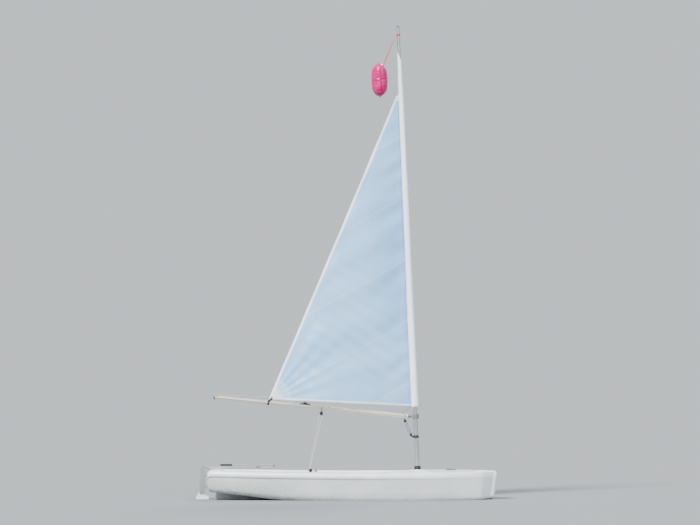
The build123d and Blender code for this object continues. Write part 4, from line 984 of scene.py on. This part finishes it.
def make_clew_strap(eye):
    """Webbing round the boom and up through the clew's ring: a circle and its two tangents
    from the apex, where cos(a0) = radius / apex."""
    eye_along, eye_side, eye_up = along_boom(eye)
    radius, apex = BOOM_RADIUS + 0.0026, eye_up - 0.006
    a0 = math.acos(radius / apex)
    angle = np.linspace(-math.pi, math.pi, 161)
    out = np.where(np.abs(angle) < a0, radius / np.cos(a0 - np.abs(angle)), radius)
    y, z = out * np.sin(angle), out * np.cos(angle)
    rise = smooth(0.3, 1.0, (z + radius) / (apex + radius))
    x = CLEW_STRAP_AT + (eye_along - CLEW_STRAP_AT) * rise
    path = boom_place(even_path(points_of(x, y + eye_side * rise, z), 0.002, 3))
    narrow = 1 - 0.42 * np.interp(np.linspace(0, 1, len(path)), np.linspace(0, 1, 161), rise)
    band = np.linspace(-math.pi, math.pi, 80)
    over = radius + 0.0028
    ply = boom_place(points_of(CLEW_STRAP_AT + 0.004, over * np.sin(band), over * np.cos(band)))
    aft = boom_axes()[0]
    return [sweep("clew_loop", path, strap_profile(0.034, 0.0026), aft, "black_webbing", narrow),
            sweep("clew_ply", ply, strap_profile(0.026, 0.0024), aft, "black_webbing")]


# Ropes
def arc(centre, radius, first, second, start, end):
    """Points of an arc about centre, from one angle to another in the plane of two directions."""
    angle = np.linspace(start, end, 18)[:, None]
    return centre + radius * (np.cos(angle) * first + np.sin(angle) * second)


def rope(name, path, material, step=0.006, soften=2):
    """A round rope along a path."""
    path = even_path(path, step, soften)
    return sweep(name, path, circle(ROPE_RADII[material], 10), rope_side(path), material)


def rope_side(path):
    """A direction that stays well away from every part of a path."""
    steps = np.abs(np.diff(path, axis=0)).max(axis=0)
    return np.eye(3)[np.argmin(steps)] + (0.013, 0.021, 0.017)


def make_mainsheet():
    """The sheet: from a knot on the swivel's becket up over the boom block's sheave, down
    round the swivel block's and forward through its cam cleat to a stopper knot."""
    aft, _, up = boom_axes()
    ahead, _, above = np.eye(3)
    low = SWIVEL + (0, 0, BLOCK_DROP)
    high = boom_place([BOOM_BLOCK_AT, 0, -BOOM_RADIUS - HANGER_DROP - BLOCK_DROP])
    groove = SHEAVE_GROOVE + ROPE_RADII["sheet_rope"]
    becket = low + (-0.004, 0, 0.036)
    path = np.vstack([becket, becket + (0.002, -0.004, 0.020), arc(high, groove, aft, up, math.pi, 0.0),
                      arc(low, groove, ahead, above, math.pi, 1.72 * math.pi),
                      low + (0.085, 0, 0.004), low + (0.118, 0, 0.010)])
    return [rope("mainsheet", path, "sheet_rope", 0.008, 1),
            knot("becket_knot", becket + (0, 0, 0.006), 0.0078, "sheet_rope")]


def make_sheet_cleat():
    """The swivel's arm with its two cams, and the stopper knot behind them."""
    low = SWIVEL + (0, 0, BLOCK_DROP)
    arm = SWIVEL + [[0.004, 0, -0.012], [0.104, 0, 0.010]]
    base = low + [[0.062, 0, -0.020], [0.112, 0, -0.014]]
    cam = [[0, -0.012], [0.0105, -0.012], [0.0115, -0.010], [0.0115, -0.004], [0.0098, 0.0], [0.0115, 0.004],
           [0.0115, 0.010], [0.0105, 0.012], [0, 0.012]]
    cams = low + [[0.088, 0.0165, 0.002], [0.088, -0.0165, 0.002]]
    upwards = (0.1, 0, 1)
    return [slab("cleat_arm", *arm, (0.026, 0.005, 0.002), (0, 1, 0), "black_nylon"),
            slab("cleat_base", *base, (0.046, 0.010, 0.004), (0, 1, 0), "black_nylon"),
            turned("cams", cam, cams, upwards, "black_nylon"),
            screw_heads("cam_bolts", cams + (0.0014, 0, 0.0125), upwards, 0.0045),
            knot("stopper_knot", low + (0.124, 0, 0.011), 0.0078, "sheet_rope")]


def make_kicker_rope():
    """Three taut parts of line between the kicker's blocks, and its end tied off below."""
    low = np.array([-MAST_RADIUS - 0.034, 0, KICKER_H])
    high = from_boom([KICKER_AT, 0, -BOOM_RADIUS - HANGER_DROP])
    line = (high - low) / np.linalg.norm(high - low)
    across = np.cross(line, (0, 1, 0))
    start, end = low + line * KICKER_DROP, high - line * KICKER_DROP
    parts = []
    for side in (-1, 0, 1):
        offset = across * side * (KICKER_GROOVE + ROPE_RADII["dark_rope"])
        parts.append(rope("kicker_leg", rig_place([start + offset, end + offset]), "dark_rope"))
    tied = rig_place(start - across * 0.004 + line * 0.034)
    return parts + [knot("kicker_knot", tied, 0.0058, "dark_rope")]


def make_outhaul(eye):
    """A line from the clew's ring to the boom's end, back along its starboard side and in turns
    on the cleat: each turn is a figure eight, x = A sin a, y = B sin 2a, high at its crossing."""
    x, y, z = along_boom(eye)
    a = np.linspace(0.9, 2 * math.pi * 2.5, 150)
    grow = a / (2 * math.pi)
    over = BOOM_RADIUS + 0.0145 + (0.0155 + 0.0048 * grow) * np.abs(np.cos(a)) ** 1.5
    turns = points_of(CLEAT_AT + (0.031 + 0.0048 * grow) * np.sin(a),
                      (0.0165 + 0.0022 * grow) * np.sin(2 * a), over + 0.0020 * grow)
    out = BOOM_RADIUS + 0.0035
    led = [(x + 0.010, y, z), (x + 0.05, y * 0.6, z - 0.004), (BOOM_LENGTH - 0.05, 0, out + 0.012),
           (BOOM_LENGTH + 0.005, 0.004, out + 0.006), (BOOM_LENGTH + 0.010, 0.020, 0.028),
           (BOOM_LENGTH - 0.012, out, 0.004), (2.6, out, 0.002), (1.86, out, 0.006), (1.79, out * 0.9, 0.018)]
    tail = turns[-1] + [[0.004, 0.008, -0.004], [0.020, 0.020, -0.012]]
    return [rope("outhaul_rope", boom_place(np.vstack([led, turns, tail])), "control_rope", 0.005),
            knot("outhaul_knot", boom_place(tail[-1] + (0.006, 0.002, -0.002)), 0.0048, "control_rope"),
            knot("clew_knot", boom_place([x + 0.014, y, z]), 0.0052, "control_rope")]


def make_boom_gear():
    """The outhaul's fairleads at the boom's end and the rivets of both its caps."""
    aft, starboard, up = boom_axes()
    angle = np.radians([45, 135, 225, 315])
    away = points_of(0, np.cos(angle), np.sin(angle))
    rivets = [boom_place(away * BOOM_RADIUS + (at, 0, 0)) for at in (0.066, 0.084, BOOM_LENGTH - 0.020)]
    base = boom_place([(BOOM_LENGTH - inset, 0, BOOM_RADIUS + 0.0022) for inset in (0.058, 0.022)])
    over = boom_place([BOOM_LENGTH - 0.040, 0, BOOM_RADIUS + 0.0135])
    return [screw_heads("cap_rivets", np.vstack(rivets), np.tile(away @ boom_axes(), (3, 1)), 0.0034),
            ring("fairlead", over, aft, 0.0072, 0.0022),
            slab("fairlead_base", *base, (0.016, 0.0052, 0.002), starboard, "black_nylon"),
            ring("fairlead_aft", boom_place([BOOM_LENGTH + 0.0155, 0, 0]), up, 0.0062, 0.0024)]


def make_rudder_line():
    """The blade's downhaul along the tiller's starboard side, in a small clam cleat."""
    z = TILLER_Z + 0.002
    y = -TILLER_RADIUS - 0.0042
    path = [(-2.366, -0.0195, z + 0.006), (-2.30, y, z + 0.001), (-1.90, y, z), (-1.560, y, z),
            (-1.500, y - 0.0015, z + 0.001), (-1.470, y - 0.0015, z + 0.001)]
    parts = [rope("rudder_line", path, "control_rope"),
             knot("rudder_knot", (-1.463, y - 0.0015, z + 0.001), 0.0046, "control_rope")]
    # The cleat's pieces: ends along the tiller, distance out, height and section
    jaw = (0.0085, 0.0062, 0.002)
    cleat = (("clam_jaw", -1.545, -1.487, y + 0.0005, z + 0.0058, jaw),
             ("clam_jaw", -1.545, -1.487, y + 0.0005, z - 0.0058, jaw),
             ("clam_base", -1.552, -1.480, -TILLER_RADIUS - 0.0005, z, (0.004, 0.0190, 0.0015)))
    for name, aft, fore, out, height, size in cleat:
        parts.append(slab(name, (aft, out, height), (fore, out, height), size, (0, 1, 0), "black_nylon"))
    return parts


# Small fittings on the hull
def make_hull_screws():
    """The screws of the hatch, swivel, toe straps, bow eye, case cap, collar and gudgeons."""
    hatch_low, hatch_high = np.array(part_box("foredeck_hatch"))
    hatch = (hatch_low + hatch_high) / 2 * (1, 1, 0) + (0, 0, hatch_high[2] - 0.0015)
    eye_low, eye_high = np.array(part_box("bow_eye"))
    eye_x = (eye_low[0] + eye_high[0]) / 2
    round_8 = np.radians(np.arange(8) * 45 + 22.5)
    round_6 = np.radians(np.arange(6) * 60 + 30)
    upward = np.vstack([
        hatch + around(0.074, round_8, 0),
        SWIVEL + around(0.025, round_6, -0.024),
        [(0.096, side * TOE_STRAP_OUT + y, WELL_FLOOR + 0.0092) for side in (1, -1) for y in (-0.031, 0.031)],
        [(eye_x + x, 0, BOW_EYE_BASE) for x in (-0.034, 0.034)],
        [(x, y, CASE_TOP) for x in np.linspace(-0.70, 0.38, 8) for y in (-0.040, 0.040)]])
    collar = rig_place(around(0.064, round_6, 0.019))
    gudgeons = [(TRANSOM_X - 0.004, y, z + height) for height in GUDGEON_HEIGHTS
                for y in (-0.0255, 0.0255) for z in (-0.009, 0.018)]
    places = np.vstack([upward, collar, gudgeons])
    axes = np.repeat([(0, 0, 1.0), rig_axes()[2], (-1.0, 0, 0)], (len(upward), 6, 8), axis=0)
    return screw_heads("hull_screws", places, axes, 0.0048)


def make_strap_plate(side):
    """The plate that holds a toe strap's end to the floor."""
    y = side * TOE_STRAP_OUT
    z = WELL_FLOOR + 0.0072
    return slab("strap_plate", (0.096, y - 0.040, z), (0.096, y + 0.040, z), (0.022, 0.0036, 0.0015),
                (1, 0, 0), "stainless_steel")


def make_deck_pad(name, side, aft, fore, inner, outer):
    """A pad of moulded grip over (u, v), dropped onto the hull below it, its corners round.

    The pad draws in at its ends by r - sqrt(r^2 - (r - e)^2), e the distance from the end.
    """
    u = np.linspace(0, 1, 120)[:, None]
    v = np.linspace(0, 1, 20)
    corner, above_deck = 0.035, 0.60
    from_end = np.minimum(u, 1 - u) * (fore - aft)
    drawn_in = corner - np.sqrt(corner ** 2 - np.clip(corner - from_end, 0, corner) ** 2)
    x = aft + u * (fore - aft)
    low, high = inner(x) + drawn_in, outer(x) - drawn_in
    y = side * (low + v * (high - low))
    made = finish(surface(name, points_of(x, y, above_deck)[:, ::side]), "deck_grip")
    with_modifier(made, "SHRINKWRAP", target=frame["nodes"]["hull"], wrap_method="PROJECT", offset=0.0020,
                  use_project_z=True, use_negative_direction=True, use_positive_direction=False)
    return with_modifier(made, "SOLIDIFY", thickness=0.0040, offset=0.0)


# Settings that a user would change
class DinghySail(bpy.types.PropertyGroup):
    tack_height: FloatProperty(name="Tack height", default=0.995, unit="LENGTH",
                               description="Height of the roll's foot above the deck, up the mast")
    roll_top: FloatProperty(name="Roll top", default=6.92, unit="LENGTH",
                            description="Height of the top of the roll, up the mast")
    head_height: FloatProperty(name="Head height", default=5.998, unit="LENGTH",
                               description="Height where the leech meets the roll")
    clew_height: FloatProperty(name="Clew height", default=1.230, unit="LENGTH",
                               description="Height of the clew, up the mast")
    clew_aft: FloatProperty(name="Clew reach", default=2.337, unit="LENGTH",
                            description="Distance from the mast to the clew")
    foot_rise: FloatProperty(name="Foot rise", default=0.020, unit="LENGTH",
                             description="How far the foot climbs in the roll")
    camber: FloatProperty(name="Camber", default=0.075,
                          description="Depth of the sail as a share of its chord")
    twist: FloatProperty(name="Twist", default=math.radians(7), subtype="ANGLE",
                         description="How far the head falls off from the foot")
    turns: FloatProperty(name="Turns", default=2.3, description="Turns of cloth round the mast")
    cloth: FloatProperty(name="Cloth", default=0.0016, unit="LENGTH",
                         description="Drawn thickness of the cloth")
    crease: FloatProperty(name="Creases", default=0.0060, unit="LENGTH", description="Depth of the creases")
    roll_fold: FloatProperty(name="Roll folds", default=0.0010, unit="LENGTH",
                             description="Depth of the roll's folds")


class DinghyFloat(bpy.types.PropertyGroup):
    squareness: FloatProperty(name="Squareness", default=3.2,
                              description="Power of the outline's superellipse")
    slack: FloatProperty(name="Slack", default=0.06,
                         description="Share that the flat sheets are wider than the bag")
    start: FloatProperty(name="Start", default=0.70,
                         description="Share of its thickness that the bag starts with")
    ripple: FloatProperty(name="Ripple", default=0.004, unit="LENGTH",
                          description="Height of the first waves at the weld")
    stretch: FloatProperty(name="Stretch stiffness", default=40.0,
                           description="How much the skin resists stretching")
    bending: FloatProperty(name="Bending stiffness", default=1.5,
                           description="How much the skin resists folding")
    pressure: FloatProperty(name="Pressure", default=6.0, description="Force of the air inside")
    flange: FloatProperty(name="Weld width", default=0.010, unit="LENGTH",
                          description="Width of the flat weld")


class DinghyStage(bpy.types.PropertyGroup):
    eye_height: FloatProperty(name="Eye height", default=1.78, unit="LENGTH",
                              description="Height of the camera above the water")
    distance: FloatProperty(name="Distance", default=50.0, unit="LENGTH",
                            description="Distance from the camera to the boat")
    frame_height: FloatProperty(name="Height in view", default=8.4, unit="LENGTH",
                                description="Height that the picture takes in at the boat")
    backdrop: FloatVectorProperty(name="Backdrop", subtype="COLOR", size=3, default=linear("#E9F0F6")[:3],
                                  description="Colour of the backdrop and of the lit floor")
    glow: FloatProperty(name="Backdrop light", default=0.92, description="Strength of the backdrop's light")
    key_light: FloatProperty(name="Key light", default=8.4, description="Strength of the key light")


class DINGHY_OT_stage(bpy.types.Operator):
    """Adds the floor at the water's height, the lights and the camera"""
    bl_idname = "dinghy.stage"
    bl_label = "Stage"

    def execute(self, context):
        v = context.scene.dinghy_stage
        glow = np.array(v.backdrop) * v.glow
        world = bpy.data.worlds.new("studio")
        world.use_nodes = True
        backdrop = world.node_tree.nodes["Background"]
        backdrop.inputs["Color"].default_value = (*v.backdrop, 1)
        backdrop.inputs["Strength"].default_value = v.glow
        context.scene.world = world
        # Name, direction towards the lamp, strength against the key's, width and colour
        lamps = (("key", (-0.42, -0.70, 0.62), 1.0, 12, (1.0, 0.985, 0.955)),
                 ("fill", (0.60, -0.60, 0.50), 0.14, 40, (0.95, 0.98, 1.0)),
                 ("back", (0.30, 0.80, 0.60), 0.34, 25, (1.0, 1.0, 1.0)))
        lit = np.zeros(3)
        for name, towards, share, width, colour in lamps:
            data = bpy.data.lights.new(name, "SUN")
            data.energy = v.key_light * share
            data.angle = math.radians(width)
            data.color = colour
            lamp = new_object(name, data)
            lamp.rotation_euler = Vector(towards).to_track_quat("Z", "Y").to_euler()
            lit += data.energy * np.array(colour) * Vector(towards).normalized().z / math.pi
        # The floor's colour a makes the lit floor as bright as the backdrop: a (W + E) = W
        m, _, cloud = new_material("matt_studio_floor", (2600, 2))
        pale = glow / (glow + lit)
        MATERIALS["studio_floor"] = ended(m, (*pale * 0.985, 1), [(cloud, (*pale * 1.015, 1))], (),
                                          {"Roughness": 1.0, "Specular IOR Level": 0.0})
        radius = np.array([0.0, 6, 20, 60, 200, 900])[:, None]
        disc = around(radius, np.linspace(0, 2 * math.pi, 96, endpoint=False), 0)
        closed(surface("floor", disc, close=True), "studio_floor")
        camera = bpy.data.cameras.new("camera")
        camera.lens = camera.sensor_width * v.distance / (v.frame_height * PICTURE_ASPECT)
        camera.clip_end = 2000
        eye = new_object("camera", camera)
        eye.location = (0.0, -v.distance, v.eye_height)
        target = Vector((-0.05, 0, v.frame_height / 2 - 0.42))
        eye.rotation_euler = (target - eye.location).to_track_quat("-Z", "Y").to_euler()
        context.scene.camera = eye
        return {"FINISHED"}


class DINGHY_OT_finishes(bpy.types.Operator):
    """Makes the finishes and puts them on the part's own pieces"""
    bl_idname = "dinghy.finishes"
    bl_label = "Finishes"

    def execute(self, context):
        MATERIALS.update(make_materials())
        slots = {row["node"]: row["material_slot"] for row in frame["record"]["subparts"]}
        for name, piece in frame["nodes"].items():
            if slots[name] not in MATERIALS:
                raise RuntimeError(f"{name} has no finish for {slots[name]}")
            finish(piece, slots[name])
        finish(frame["nodes"]["extension_grip"], "grip_foam")
        return {"FINISHED"}


class DINGHY_OT_sail(bpy.types.Operator):
    """Adds the sail, rolled round the mast and filled to starboard, with its clew's gear"""
    bl_idname = "dinghy.sail"
    bl_label = "Sail"

    def execute(self, context):
        cloth, area, flat_size, (eye, side) = make_sail(context.scene.dinghy_sail)
        place_piece(cloth, "rig", "sailcloth", "sail")
        place_piece(ring("clew_ring", eye, side, 0.0125, 0.0030), "rig", "stainless_steel")
        place_piece(joined("clew_webbing", make_clew_strap(eye)), "rig", "black_webbing", "clew_strap")
        place_piece(joined("outhaul", make_outhaul(eye)), "rig", "black_webbing")
        place_piece(joined("tack_webbing", make_tack_strap()), "rig", "black_webbing", "tack_strap")
        return {"FINISHED"}


class DINGHY_OT_masthead_float(bpy.types.Operator):
    """Adds the inflated float at the masthead with its weld, valve and straps"""
    bl_idname = "dinghy.masthead_float"
    bl_label = "Masthead float"

    def execute(self, context):
        bag = make_float(context.scene.dinghy_float)
        place_piece(bag, "rig", "pink_vinyl", "masthead_float")
        place_piece(joined("float_straps", make_float_straps()), "rig", "red_webbing", "float_strap")
        fittings = make_float_fittings() + [make_float_patch(bag, side) for side in (1, -1)]
        place_piece(joined("float_fittings", fittings), "rig", "pink_vinyl")
        return {"FINISHED"}


class DINGHY_OT_ropes(bpy.types.Operator):
    """Adds the mainsheet with its cleat, the kicker's line and the boom's small gear"""
    bl_idname = "dinghy.ropes"
    bl_label = "Ropes"

    def execute(self, context):
        sheet = joined("mainsheet", make_mainsheet())
        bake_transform(sheet)
        place_piece(joined("sheet_cleat", make_sheet_cleat()), "hull", "black_nylon")
        place_piece(joined("kicker_rope", make_kicker_rope()), "rig", "black_webbing", "kicker_line")
        place_piece(joined("boom_gear", make_boom_gear()), "rig", "stainless_steel")
        place_piece(joined("rudder_downhaul", make_rudder_line()), "rudder", "black_webbing")
        return {"FINISHED"}


class DINGHY_OT_well(bpy.types.Operator):
    """Adds the toe straps, the grip on the side decks and the fastenings"""
    bl_idname = "dinghy.well"
    bl_label = "Well and deck"

    def execute(self, context):
        straps, sleeves, plates, pads = [], [], [], []
        for side in (1, -1):
            straps.append(make_toe_strap(side))
            sleeves.append(make_toe_sleeve(side))
            plates.append(make_strap_plate(side))
            for number, (aft, fore) in enumerate(((-1.95, -1.13), (-1.09, -0.27), (-0.23, 0.55))):
                pads.append(make_deck_pad(f"side_pad_{number}", side, aft, fore,
                                          lambda x: half_beam_at(x) - 0.245,
                                          lambda x: half_beam_at(x) - 0.075))
            pads.append(make_deck_pad("foredeck_pad", side, 1.20, 1.96,
                                      lambda x: 0.125,
                                      lambda x: half_beam_at(x) - 0.085))
        place_piece(joined("toe_webbing", straps + sleeves), "hull", "black_webbing", "toe_straps")
        place_piece(joined("strap_plates", plates), "hull", "stainless_steel")
        place_piece(joined("deck_grip", pads), "hull", "hull_plastic")
        place_piece(make_hull_screws(), "hull", "stainless_steel")
        return {"FINISHED"}


class DINGHY_PT_panel(bpy.types.Panel):
    """Lists the steps that dress the boat and their settings"""
    bl_idname = "DINGHY_PT_panel"
    bl_label = "Dinghy"
    bl_space_type = "VIEW_3D"
    bl_region_type = "UI"
    bl_category = "Dinghy"

    def draw(self, context):
        for step in STEPS:
            self.layout.operator(step.bl_idname)
        for group in GROUPS:
            values = getattr(context.scene, group)
            for key in values.__annotations__:
                self.layout.prop(values, key)


STEPS = (DINGHY_OT_stage, DINGHY_OT_finishes, DINGHY_OT_sail, DINGHY_OT_masthead_float, DINGHY_OT_ropes,
         DINGHY_OT_well)
GROUPS = {"dinghy_sail": DinghySail, "dinghy_float": DinghyFloat, "dinghy_stage": DinghyStage}


def register():
    for group in GROUPS.values():
        bpy.utils.register_class(group)
    for name, group in GROUPS.items():
        setattr(bpy.types.Scene, name, PointerProperty(type=group))
    for step in STEPS + (DINGHY_PT_panel,):
        bpy.utils.register_class(step)


def unregister():
    for step in reversed(STEPS + (DINGHY_PT_panel,)):
        bpy.utils.unregister_class(step)
    for name in GROUPS:
        delattr(bpy.types.Scene, name)
    for group in reversed(list(GROUPS.values())):
        bpy.utils.unregister_class(group)


def main():
    register()
    for step in STEPS:
        area, action = step.bl_idname.split(".")
        getattr(getattr(bpy.ops, area), action)()


if __name__ == "__main__":
    main()
